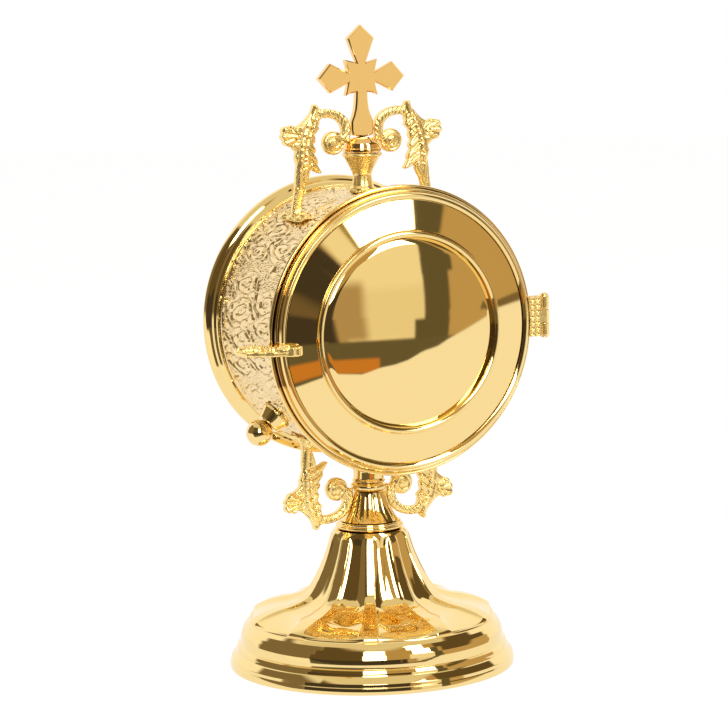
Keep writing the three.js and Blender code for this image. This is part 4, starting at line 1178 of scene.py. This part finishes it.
@dataclass
class Drum:
    """The case: chased band, front and back rims, fixed back and the seat inside."""

    front: float = -28.0
    back: float = 26.0
    inner: float = 48.3
    rim: float = 54.0
    columns: int = 1056
    rows: int = 168
    chasing: Chasing = field(default_factory=Chasing)

    def build(self) -> None:
        """Makes the drum's pieces and dresses them."""
        dress(self.band(), CHASED, Body.CASE, "drum_band")
        dress(self.front_rim(), POLISHED, Body.CASE, "front_rim")
        dress(self.back_rim(), POLISHED, Body.CASE, "back_rim")
        dress(self.back_cover(), POLISHED, Body.CASE, "back_cover")
        dress_node("luna_seat", POLISHED)

    def band(self) -> bpy.types.Object:
        """Makes the band with its chasing.

        Returns:
            The band.
        """
        turn, front, back = np.arange(self.columns) / self.columns, self.front + 2.5, self.back - 2.5
        across = np.linspace(0, back - front, self.rows)
        wall = BAND_RADIUS - self.chasing.height + self.chasing.relief(*np.meshgrid(turn, across, indexing="xy"))
        full, inner = np.full((1, self.columns), BAND_RADIUS), np.full((2, self.columns), self.inner)
        along = np.concatenate([[self.front], front + across, [self.back], [self.back], [self.front]])
        return swept("chased_band", np.vstack([full, wall, full, inner]), along[:, None], turn * 2 * math.pi,
                     Turn.DRUM, DRUM_Z, 60, weld=False)

    def front_rim(self) -> bpy.types.Object:
        """Makes the beaded ring round the door.

        Returns:
            The ring.
        """
        sleeve, lip, seat = BAND_RADIUS + SEAT_GAP, BAND_RADIUS + 0.04, self.front - 1.0
        bead, crest = self.rim - 1.3, self.front - 3.6
        outline = rounded([
            (lip, self.front + 2.5, 0), (lip, self.front + 1.6, 0), (sleeve, self.front + 1.5, 0),
            (sleeve, self.front - 0.3, 0), (self.inner, self.front - 0.3, 0.1),
            (self.inner, seat, 0.1), (bead, seat, 0.1), (bead, crest + 0.4, 0.2), (bead + 0.5, crest, 0.4),
            (self.rim - 0.25, crest + 0.15, 0.5), (self.rim, crest + 1.0, 0.6), (self.rim - 0.5, crest + 2.2, 0.8),
            (self.rim - 1.5, crest + 3.2, 0.8), (sleeve + 1.6, self.front + 0.3, 0.6),
            (sleeve + 1.3, self.front + 0.9, 0.3), (sleeve + 0.75, self.front + 1.2, 0.2),
            (sleeve + 0.6, self.front + 2.5, 0.2)])
        return spun_on_drum("front_bead", outline)

    def back_rim(self) -> bpy.types.Object:
        """Makes the stepped ring at the back.

        Returns:
            The ring.
        """
        sleeve, lip, back = BAND_RADIUS + SEAT_GAP, self.back + 0.3, self.back + 5.2
        outline = rounded([
            (sleeve, self.back - 1.5, 0), (BAND_RADIUS + 0.04, self.back - 1.6, 0),
            (BAND_RADIUS + 0.04, self.back - 2.5, 0), (sleeve + 0.6, self.back - 2.4, 0.2),
            (sleeve + 0.9, self.back - 1.8, 0.3),
            (sleeve + 1.7, self.back - 1.1, 0.5), (sleeve + 2.0, self.back - 0.2, 0.3),
            (self.rim - 1.4, self.back + 0.3, 0.4), (self.rim - 0.3, self.back + 1.6, 0.7),
            (self.rim, self.back + 2.9, 0.9), (self.rim - 0.5, back - 1, 0.8), (self.rim - 1.2, back - 0.4, 0.4),
            (sleeve + 1.6, back, 0.5), (sleeve + 0.1, back - 1, 0.4), (sleeve + 0.1, lip + 0.7, 0.1),
            (self.inner - 2.8, lip + 0.7, 0.1), (self.inner - 2.8, lip, 0.1), (sleeve, lip, 0)])
        return spun_on_drum("back_bead", outline)

    def back_cover(self) -> bpy.types.Object:
        """Makes the fixed back."""
        return SpunPanel(BAND_RADIUS - SEAT_GAP, 0.9, 3.0, self.back + 1.3, 1).build("back_panel")


@dataclass
class Door:
    """The door: beaded ring with its spigot, spun panel and cast pull."""

    back: float = -29.3
    radius: float = 52.4
    crest: float = -35.2
    panel_radius: float = 48.5
    panel_back: float = -33.3

    def build(self) -> None:
        """Makes the door's pieces and dresses them."""
        dress(self.ring(), POLISHED, Body.DOOR, "door_ring")
        panel = SpunPanel(self.panel_radius, 2.6, 4.0, self.panel_back, -1)
        dress(panel.build("door_disc"), POLISHED, Body.DOOR, "door_panel")
        dress(Pull().build("cast_pull"), CAST, Body.DOOR, "door_pull")

    def ring(self) -> bpy.types.Object:
        """Makes the stepped bead that frames the panel.

        Returns:
            The ring.
        """
        step, spigot = self.back - 4.0, 47.95
        opening, ledge = self.panel_radius + 0.3, self.panel_radius - 2.3
        outline = rounded([
            (spigot, self.back, 0.1), (self.radius, self.back, 0.1), (self.radius, step + 0.5, 0.3),
            (self.radius - 0.45, step, 0.4), (self.radius - 0.9, step + 0.1, 0.2), (51.4, step + 0.4, 0.1),
            (51.3, self.crest + 1.0, 0.4), (50.7, self.crest + 0.1, 0.5), (49.9, self.crest, 0.5),
            (opening + 0.1, self.crest + 0.5, 0.3), (opening, self.panel_back + 0.3, 0.1),
            (ledge, self.panel_back + 0.3, 0.1), (ledge, self.back + 3.3, 0.3), (spigot, self.back + 3.3, 0.3)])
        return spun_on_drum("door_bead", outline)


# Crown, pin and castings


@dataclass
class Crown:
    """The finial: vase, cap and cross, on their stud."""

    bore: float = 1.8
    vase_base: float = 180.6
    cap_base: float = 195.0
    cross_base: float = 200.9

    def build(self) -> None:
        """Makes the finial's pieces and dresses them."""
        dress(self.vase(), CAST, Body.CASE, "finial_vase")
        dress(self.cap(), SATIN, Body.CASE, "finial_cap")
        dress_node("cross", SATIN)
        dress_node("finial_stud", BRASS)

    def vase(self) -> bpy.types.Object:
        """Makes the vase whose foot follows the drum.

        Returns:
            The vase.
        """
        z = self.vase_base
        outline = rounded([
            (self.bore, z - 1.0, 0), (4.9, z - 1.0, 0), (4.9, z + 0.9, 0.4), (4.1, z + 2.0, 0.5), (3.75, z + 3.9, 1.0),
            (3.5, z + 6.2, 2.5), (4.4, z + 8.3, 2.0), (6.9, z + 12.9, 0.6), (7.45, z + 13.1, 0.2),
            (7.6, z + 13.6, 0.3), (7.3, z + 14.1, 0.2), (self.bore, z + 14.1, 0)])
        vase = turned("finial_vase_body", outline, Turn.UPRIGHT)
        follow_drum(vase, z - 0.9, 1)
        return vase

    def cap(self) -> bpy.types.Object:
        """Makes the domed cap under the cross.

        Returns:
            The cap.
        """
        z = self.cap_base
        outline = rounded([
            (self.bore, z, 0), (7.1, z, 0.2), (7.3, z + 0.5, 0.4), (7.25, z + 1.4, 0.4), (6.8, z + 1.7, 0.2),
            (6.4, z + 3.5, 1.5), (4.8, z + 5.2, 1.5), (2.9, z + 5.6, 1.0), (self.bore, z + 5.6, 0)])
        return turned("finial_dome", outline, Turn.UPRIGHT)


@dataclass
class RetainingPin:
    """The ball-headed pin and the boss that it slides in, turned about their spoke of the drum."""

    angle: float = math.radians(220.5)
    bore: float = 1.85
    shank: float = 1.5
    boss_base: float = 48.5
    ball: float = 5.0
    ball_centre: float = 59.0
    boss: Outline = (
        (6.0, 48.5, 0), (6.0, 50.5, 0.3), (5.6, 51.2, 0.4), (4.5, 53.8, 0.6), (4.2, 54.4, 0.3), (3.7, 54.7, 0.2),
        (3.1, 54.65, 0.1))
    shaft: Outline = (
        (0.01, 40.24, 0), (1.1, 40.24, 0.2), (1.5, 40.74, 0.2), (1.5, 42.44, 0), (2.8, 42.44, 0.15),
        (2.8, 43.44, 0.15), (1.5, 43.44, 0))

    def build(self) -> None:
        """Makes the boss and the pin and dresses them."""
        boss = rounded([(self.bore, self.boss_base, 0), *self.boss, (self.bore, 54.0, 0)])
        dress(self.aimed("pin_cone", boss), POLISHED, Body.CASE, "pin_boss")
        turn = np.linspace(math.asin(self.shank / self.ball), math.pi, 48)
        head = np.stack([np.maximum(self.ball * np.sin(turn), 0.01), self.ball_centre - self.ball * np.cos(turn)], -1)
        dress(self.aimed("ball_pin", np.vstack([rounded(self.shaft), head])), POLISHED, Body.PIN, "retaining_pin")

    def aimed(self, name: str, outline: np.ndarray) -> bpy.types.Object:
        """Spins an outline of radius and distance from the drum's axis about the pin's own line.

        Args:
            name: name of the piece.
            outline: its outline.

        Returns:
            The piece, its base following the band where it would cut into it.
        """
        rows, columns = supported(outline), 96
        turn = np.linspace(0, 2 * math.pi, columns, endpoint=False)
        across, level = rows[:, :1] * np.cos(turn), rows[:, :1] * np.sin(turn)
        out = np.repeat(rows[:, 1:], columns, 1)
        seated = np.sqrt((BAND_RADIUS + SEAT_GAP) ** 2 - level ** 2)
        out = np.where(np.abs(out - self.boss_base) < 0.1, seated, out)
        cosine, sine = math.cos(self.angle), math.sin(self.angle)
        points = np.stack([out * cosine - level * sine, across, DRUM_Z + out * sine + level * cosine], -1)
        return piece_from(name, points.reshape(-1, 3), grid_faces(len(rows), columns, True, True))


@dataclass
class Casting:
    """An acanthus casting: arm with its bud, volute, lobed leaf, leg and the pad on the band.

    Its outline runs up the outside of the arm, over the bud, round the leaf, down the leg and back.
    Points are out from the holder's axis and up from the casting's level, in millimetres.
    """

    side: int
    rise: int
    level: float
    offset: float
    lean: float
    foot_angle: float
    clear: Outline
    thickness: float = 3.7
    volute: tuple[float, float] = (12.0, 3.9)
    volute_radius: float = 4.4
    pad_length: float = 21.6
    pad_width: float = 6.2
    outside: Outline = (
        (5.6, 4.0), (5.0, 7.5), (5.0, 9.4), (6.3, 12.9), (9.6, 15.5), (13.6, 16.6), (17.0, 16.7), (18.0, 17.4),
        (18.6, 18.4), (19.8, 18.4), (20.4, 17.2), (21.3, 15.3), (24.2, 12.3), (26.4, 10.9), (27.6, 10.4), (28.4, 11.2),
        (29.4, 11.3), (30.5, 10.9), (31.5, 11.0), (32.5, 10.4), (33.1, 9.3), (32.8, 8.4), (33.3, 7.5), (33.2, 6.4),
        (32.5, 5.6), (32.3, 4.6), (31.2, 3.7), (29.8, 3.4), (28.5, 2.3), (27.5, 1.1), (27.9, -0.8), (27.2, -3.5),
        (27.7, -7.5), (28.1, -12.6))
    inside: Outline = (
        (24.1, -11.6), (23.0, -9.4), (22.1, -7.2), (21.8, -5.6), (20.6, -5.9), (18.8, -6.9), (17.3, -7.0), (18.0, -5.4),
        (18.9, -3.8), (18.7, -2.6), (19.1, -1.4), (20.1, 0.3), (19.5, 1.2), (19.6, 2.4), (20.4, 3.7), (19.8, 4.6),
        (19.5, 5.9), (19.7, 7.3), (18.8, 8.5), (17.9, 9.4), (18.1, 10.8), (17.3, 13.1), (14.4, 13.4), (11.2, 12.6),
        (9.0, 10.4), (8.5, 7.4), (9.0, 4.0))
    pad: Outline = (
        (-0.5, 0.2), (-0.38, 0.7), (-0.25, 1), (-0.12, 0.74), (0, 0.9), (0.12, 0.74), (0.25, 1), (0.38, 0.7),
        (0.5, 0.2))
    midrib: Outline = (
        (18.9, 17.4), (19.8, 15.0), (22.3, 10.0), (24.2, 5.2), (25.2, 0.0), (25.9, -6.0), (26.2, -12.0))
    arm: Outline = (
        (7.2, 3.0), (6.9, 7.0), (7.4, 10.6), (9.9, 13.6), (13.2, 15.0), (16.4, 15.1), (18.8, 16.8))
    notches: tuple[Outline, ...] = (
        [(30.3, 10.4), (26.2, 7.6)], [(32.2, 8.4), (26.4, 6.9)], [(31.8, 5.9), (26.5, 6.0)], [(29.5, 4.0), (26.2, 4.8)],
        [(27.6, 10.6), (25.5, 8.6)])
    tips: tuple[tuple[float, float], ...] = ((29.0, 10.9), (31.9, 10.2), (32.8, 7.2), (31.4, 4.6))
    veins: tuple[Outline, ...] = (
        [(24.3, 6.6), (22.5, 6.1), (20.9, 4.1)], [(25.0, 2.6), (23.2, 2.6), (20.8, 0.5)],
        [(25.5, -1.6), (22.9, -1.0), (19.4, -3.4)], [(25.9, -5.2), (23.4, -4.4), (20.6, -5.8)],
        [(23.0, 9.8), (21.3, 9.6), (19.6, 7.8)], [(21.2, 12.4), (19.8, 12.1), (18.2, 10.6)])
    bud: tuple[tuple[float, float], ...] = ((18.4, 17.4), (19.2, 18.0), (19.9, 17.6))
    pad_cuts: tuple[tuple[Outline, float, float], ...] = (
        ([(0, -10.5), (0, 10.5)], 0.5, 0.35),
        *(([(hand * x, y), (hand * inner, end)], half, depth)
          for x, y, inner, end, half, depth in ((2.6, -6.5, 0, -3.4, 0.45, 0.5), (2.6, 6.5, 0, 3.4, 0.45, 0.5),
                                                (3, -3, 0.8, -1.6, 0.45, 0.5), (1.6, -9.2, 0, -7.4, 0.4, 0.4))
          for hand in (-1, 1)))

    def build(self, name: str) -> bpy.types.Object:
        """Fuses the casting's parts, models their relief and puts them in place.

        Args:
            name: name of the piece.

        Returns:
            The casting.
        """
        ring = self.outline()
        skin = remeshed(name, [self.prism(ring), self.disc(), self.foot_pad()], 0.3)
        points = self.modelled(mesh_points(skin), ring)
        points[:, 0] *= self.side
        points[:, 2] = self.level + self.rise * points[:, 2]
        move_points(skin, points)
        if self.side * self.rise < 0:
            skin.flip_normals()
        return link_mesh(name, skin, 60)

    def leaned(self, flat: np.ndarray) -> np.ndarray:
        """Moves points of the upright drawing to where the casting's lean takes them."""
        return np.stack([flat[:, 0] + self.lean * flat[:, 1] + self.offset, flat[:, 1]], -1)

    def upright(self, points: np.ndarray) -> np.ndarray:
        """Takes places across and up back to the upright drawing."""
        return np.stack([points[:, 0] - self.offset - self.lean * points[:, 2], points[:, 2]], -1)

    def radial(self) -> np.ndarray:
        """Gives the direction from the drum's centre to the pad."""
        return np.array([math.sin(self.foot_angle), 0, math.cos(self.foot_angle)])

    def centre(self) -> np.ndarray:
        """Gives the drum's centre in the casting's own frame."""
        return np.array([0, 0, self.rise * (DRUM_Z - self.level)])

    def outline(self) -> np.ndarray:
        """Gives the leaf's and arm's closed outline, in the upright drawing.

        Returns:
            The points, with the ankle where the leg meets the band.
        """
        across = np.array([self.radial()[2], 0, -self.radial()[0]])
        ankle = [self.centre() + self.radial() * (BAND_RADIUS + 0.4) + across * 1.9 * out for out in (1, -1)]
        ankle = [tuple(p) for p in self.upright(np.array(ankle))]
        return spline([*self.outside, *ankle, *self.inside, self.outside[0]], 4)[:-1]

    def prism(self, ring: np.ndarray) -> Part:
        """Makes the plate that the leaf and the arm are modelled from, by its outline in the upright drawing."""
        half = self.thickness / 2
        return lofted(np.array([[(x, y, z) for x, z in self.leaned(ring)] for y in (-half, half)]))

    def disc(self) -> Part:
        """Makes the volute's disc, domed towards its eye.

        Returns:
            Its points and faces.
        """
        half, radius = self.thickness / 2, self.volute_radius
        rows = [(0.01, -half - 0.5), (1.2, -half - 0.4), (radius - 0.6, -half + 0.1), (radius, -half + 0.8)]
        rows += [(r, -y) for r, y in rows[::-1]]
        angle = np.linspace(0, 2 * math.pi, 40, endpoint=False)
        x, z = self.leaned(np.array([self.volute]))[0]
        return lofted(np.array([[(x + r * math.cos(a), y, z + r * math.sin(a)) for a in angle] for r, y in rows]))

    def foot_pad(self) -> Part:
        """Makes the lobed pad that lies on the band.

        Returns:
            Its points and faces.
        """
        along = np.linspace(0, len(self.pad) - 1, 49)
        index = np.arange(len(self.pad))
        place = np.interp(along, index, [p[0] for p in self.pad]) * self.pad_length
        width = np.interp(along, index, [p[1] for p in self.pad]) * self.pad_width
        lift = BAND_RADIUS + 1.1 + 0.25 * np.cos(place * 1.1)
        path = self.centre() + self.radial() * lift[:, None] + np.array([0, 1, 0]) * place[:, None]
        return limb_mesh(path, width, 2.0 * (0.55 + 0.45 * width / self.pad_width), self.radial())

    def leaf_strokes(self) -> list[Stroke]:
        """Lists the leaf's midrib with its beads, the notches and swellings of its lobes, and its veins.

        Returns:
            The strokes, in the upright drawing.
        """
        midrib = spline(self.midrib, 5)
        turn = np.gradient(midrib, axis=0)
        side = 1.15 * np.stack([-turn[:, 1], turn[:, 0]], -1) / np.linalg.norm(turn, axis=1)[:, None]
        strokes = [Stroke(midrib, 0.95, 0.5), Stroke(midrib + side, 0.4, -0.55), Stroke(midrib - side, 0.4, -0.5)]
        strokes += [Stroke(np.array([bead, bead + 0.05]), 0.5, -0.5) for bead in (midrib - side)[14:-3:2]]
        for notch, root in self.notches:
            middle = ((notch[0] + root[0]) / 2, (notch[1] + root[1]) / 2 + 0.5)
            strokes.append(Stroke(spline([notch, middle, root], 4), 0.42, -0.7))
        for x, y in self.tips:
            strokes.append(Stroke(np.array([(x, y), (27.0, 6.9)]), 0.75, 0.4))
            strokes.append(Stroke(np.array([(x, y), (x - 0.4, y - 0.2)]), 1.0, 0.35))
        for line in (spline(vein, 5) for vein in self.veins):
            strokes += [Stroke(line, 0.42, -0.75), Stroke(line + np.array([-0.2, 1.1]), 0.55, 0.42),
                        Stroke(line[4:] + np.array([0.3, -1.0]), 0.3, -0.4)]
        return strokes

    def arm_strokes(self) -> list[Stroke]:
        """Lists the arm's wrapping, the volute's spiral and the bud's beads.

        Returns:
            The strokes, in the upright drawing.
        """
        arm, strokes = spline(self.arm, 8), []
        ahead = np.gradient(arm, axis=0)
        ahead /= np.linalg.norm(ahead, axis=1)[:, None]
        for spot, way in zip(arm[2::4], ahead[2::4]):
            slant = np.array([way[0] - way[1], way[0] + way[1]]) * 1.5
            strokes.append(Stroke(np.array([spot - slant, spot + slant]), 0.4, -0.6))
        t = np.linspace(0, 1, 40)
        radius, angle = 3.8 - 2.6 * t, 1.9 + 9.0 * t
        spiral = np.stack([self.volute[0] + radius * np.cos(angle), self.volute[1] + radius * np.sin(angle)], -1)
        strokes.append(Stroke(spiral, 0.48, -0.7))
        return strokes + [Stroke(np.array([(x, y), (x + 0.1, y)]), 0.75, 0.4) for x, y in self.bud]

    def modelled(self, points: np.ndarray, ring: np.ndarray) -> np.ndarray:
        """Rounds the plate towards its outline, carves the strokes and clears what the casting seats on.

        Args:
            points: points of the fused skin, in the casting's own frame.
            ring: the leaf's outline, in the upright drawing.

        Returns:
            The moved points.
        """
        flat = self.upright(points)
        from_band = points - self.centre()
        above = np.hypot(from_band[:, 0], from_band[:, 2]) - BAND_RADIUS
        leaf = (np.abs(points[:, 1]) < self.thickness / 2 + 0.7) & (above > 2.4)
        inner = path_distance(flat, np.vstack([ring, ring[:1]]))
        eye = np.hypot(flat[:, 0] - self.volute[0], flat[:, 1] - self.volute[1])
        inner = np.where(eye < self.volute_radius, np.maximum(inner, self.volute_radius - eye), inner)
        swell = 0.6 + 0.4 * np.sqrt(1 - (1 - np.clip(inner / 1.7, 0, 1)) ** 2)
        lift = 0.5 * sum(stroke.relief(flat) for stroke in self.leaf_strokes() + self.arm_strokes())
        leg = 1 - 0.28 * smoothstep(-flat[:, 1], 1, 7) * (flat[:, 0] > 21.5)
        half = np.clip((self.thickness / 2 * swell + lift) * leg, 1.0, 2.35)
        points[:, 1] = np.where(leaf, points[:, 1] * half / (self.thickness / 2), points[:, 1])
        return self.cleared(self.seated(points, from_band, above))

    def seated(self, points: np.ndarray, from_band: np.ndarray, above: np.ndarray) -> np.ndarray:
        """Cuts the pad's lines and keeps it off the band.

        Args:
            points: points of the casting, in its own frame.
            from_band: where they lay from the drum's centre before the leaf was modelled.
            above: how far they lay over the band.

        Returns:
            The moved points.
        """
        side = from_band @ np.array([self.radial()[2], 0, -self.radial()[0]])
        places = np.stack([side, points[:, 1]], -1)
        share = (above < 2.6) * smoothstep(above, 0.9, 1.6)
        for path, half, depth in self.pad_cuts:
            cut = Stroke(np.array(path, float), half, depth).relief(places)
            points -= self.radial() * (cut * share)[:, None]
        from_band = points - self.centre()
        reach = np.hypot(from_band[:, 0], from_band[:, 2])
        push = np.maximum(BAND_RADIUS + 0.25 - reach, 0)[:, None] / reach[:, None]
        return points + from_band * np.array([1, 0, 1]) * push

    def cleared(self, points: np.ndarray) -> np.ndarray:
        """Keeps the arm outside the turned piece that it stands against.

        Args:
            points: points of the casting, in its own frame.

        Returns:
            The moved points.
        """
        heights, radii = zip(*self.clear)
        limit = np.interp(points[:, 2], heights, radii, left=0, right=0)
        reach = np.hypot(points[:, 0], points[:, 1])
        wanted = np.sqrt(np.maximum(limit ** 2 - points[:, 1] ** 2, 0))
        points[:, 0] = np.where(reach < limit, wanted, points[:, 0])
        return points


@dataclass
class Scrolls:
    """The four acanthus castings that brace the finial and the stem."""

    cap_level: float = 195.0
    cone_level: float = 72.0
    cap: Outline = (
        (-1.0, 7.55), (1.5, 7.55), (3.7, 6.65), (5.2, 5.1), (5.8, 3.2))
    cone: Outline = (
        (1.5, 7.3), (5.6, 7.3), (6.2, 6.6), (10.0, 7.4), (12.5, 8.6), (15.0, 10.3), (17.2, 11.5))

    def build(self) -> None:
        """Makes and dresses the castings."""
        for side, hand in ((-1, "left"), (1, "right")):
            upper = Casting(side, 1, self.cap_level, 0.0, 0.0, math.radians(34.5), self.cap)
            dress(upper.build(f"casting_upper_{hand}"), CAST, Body.CASE, f"scroll_upper_{hand}")
            lower = Casting(side, -1, self.cone_level, 1.2, 0.13, math.radians(32.5), self.cone)
            dress(lower.build(f"casting_lower_{hand}"), CAST, Body.CASE, f"scroll_lower_{hand}")


@dataclass
class Pull:
    """The cast pull: a leafy plate with a bud on top and a fluted end in front of the door."""

    top: float = 128.0
    petals: tuple[tuple[float, float, float, float, float], ...] = (
        (-56.0, -29.0, -64.3, -25.4, 3.4), (-55.5, -27.5, -60.6, -23.2, 3.2), (-56.5, -30.0, -64.0, -29.6, 3.2),
        (-54.5, -30.5, -61.0, -32.6, 2.8), (-54.5, -28.0, -57.0, -25.2, 3.0), (-50.5, -35.0, -56.2, -33.0, 3.0))

    def build(self, name: str) -> bpy.types.Object:
        """Fuses the plate with its petals and carves their veins.

        Args:
            name: name of the piece.

        Returns:
            The pull.
        """
        petals = [self.petal(*petal) for petal in self.petals]
        skin = remeshed(name, [solid_part("door_pull"), *(part for part, _ in petals)], 0.2)
        points = mesh_points(skin)
        cut = sum(vein.relief(points[:, :2]) for _, veins in petals for vein in veins)
        points[:, 2] -= cut * smoothstep(points[:, 2], self.top - 0.3, self.top + 0.2)
        move_points(skin, points)
        return link_mesh(name, skin, 60)

    def petal(self, x0: float, y0: float, x1: float, y1: float, width: float) -> tuple[Part, list[Stroke]]:
        """Makes one petal that lies on the plate.

        Args:
            x0: place of its root across the holder.
            y0: place of its root along the drum.
            x1: place of its tip across the holder.
            y1: place of its tip along the drum.
            width: its greatest width.

        Returns:
            The petal and its veins.
        """
        count = 12
        share = np.linspace(0, 1, count)
        path = np.stack([np.linspace(x0, x1, count), np.linspace(y0, y1, count), np.full(count, self.top - 0.1)], -1)
        path[:, 2] += 0.5 * np.sin(math.pi * share)
        widths = width * (0.3 + 0.7 * np.sin(math.pi * (0.12 + 0.8 * share)))
        ahead = np.array([x1 - x0, y1 - y0]) / math.hypot(x1 - x0, y1 - y0)
        beside = np.array([-ahead[1], ahead[0]])
        veins = [Stroke(path[:, :2], 0.4, 0.5)]
        veins += [Stroke(np.array([spot, spot + 1.1 * ahead + hand * 1.1 * beside]), 0.35, 0.4)
                  for hand in (-1, 1) for spot in path[3:10:3, :2]]
        return limb_mesh(path, widths, 2.4 - 0.5 * share, np.array([0.0, 0.0, 1.0])), veins


@dataclass
class Hinge:
    """The hinge: two cast leaves with pitted faces, and the pin through their knuckles."""

    columns: tuple[float, ...] = (53.7, 55.9)
    low: float = 124.8
    height: float = 15.0
    pits: int = 7
    pin_place: tuple[float, float] = (59.8, -31.3)

    def build(self) -> None:
        """Makes the leaves and the pin and dresses them."""
        dress(self.leaf("hinge_leaf_door", "hinge_door_leaf", -33.2), CAST, Body.DOOR, "hinge_door_leaf")
        dress(self.leaf("hinge_leaf_case", "hinge_case_leaf", -30.6), CAST, Body.CASE, "hinge_case_leaf")
        dress(self.pin(), POLISHED, Body.CASE, "hinge_pin")

    def leaf(self, name: str, node: str, face: float) -> bpy.types.Object:
        """Makes one leaf and sinks its pits.

        Args:
            name: name of the piece.
            node: the solid that gives its form.
            face: how far forward its front lies.

        Returns:
            The leaf.
        """
        skin = remeshed(name, [solid_part(node)], 0.2)
        points = mesh_points(skin)
        sunk = np.zeros(len(points))
        for x in self.columns:
            for z in self.low + self.height * (np.arange(self.pits) + 0.5) / self.pits:
                gap = np.hypot(points[:, 0] - x, 0.8 * (points[:, 2] - z))
                sunk = np.maximum(sunk, np.clip(1 - (gap / 0.75) ** 2, 0, 1))
        points[:, 1] += 0.6 * sunk * (points[:, 1] < face + 0.4)
        move_points(skin, points)
        return link_mesh(name, skin, 50)

    def pin(self) -> bpy.types.Object:
        """Makes the hinge's pin with its two heads.

        Returns:
            The pin.
        """
        low, high = self.low - 0.3, self.low + self.height + 0.3
        outline = rounded([(0.01, low - 0.7, 0), (0.9, low - 0.7, 0.3), (1.5, low - 0.2, 0.2), (1.5, low, 0.1),
                           (0.85, low, 0), (0.85, high, 0), (1.5, high, 0.1), (1.5, high + 0.2, 0.2),
                           (0.9, high + 0.7, 0.3), (0.01, high + 0.7, 0)])
        pin = turned("hinge_rod", outline, Turn.UPRIGHT, 40)
        move_points(pin.data, mesh_points(pin.data) + np.array([*self.pin_place, 0.0]))
        return pin


def main() -> None:
    """Builds the holder piece by piece, then the studio round it."""
    logging.basicConfig(level=logging.INFO, format="%(name)s %(message)s")
    bpy.context.scene.view_settings.view_transform = "Standard"
    for part in (Foot(), Stem(), Drum(), Door(), Hinge(), RetainingPin(), Crown(), Scrolls()):
        part.build()
        LOG.info("built %s", type(part).__name__)
    Studio().build()


if __name__ == "__main__":
    main()
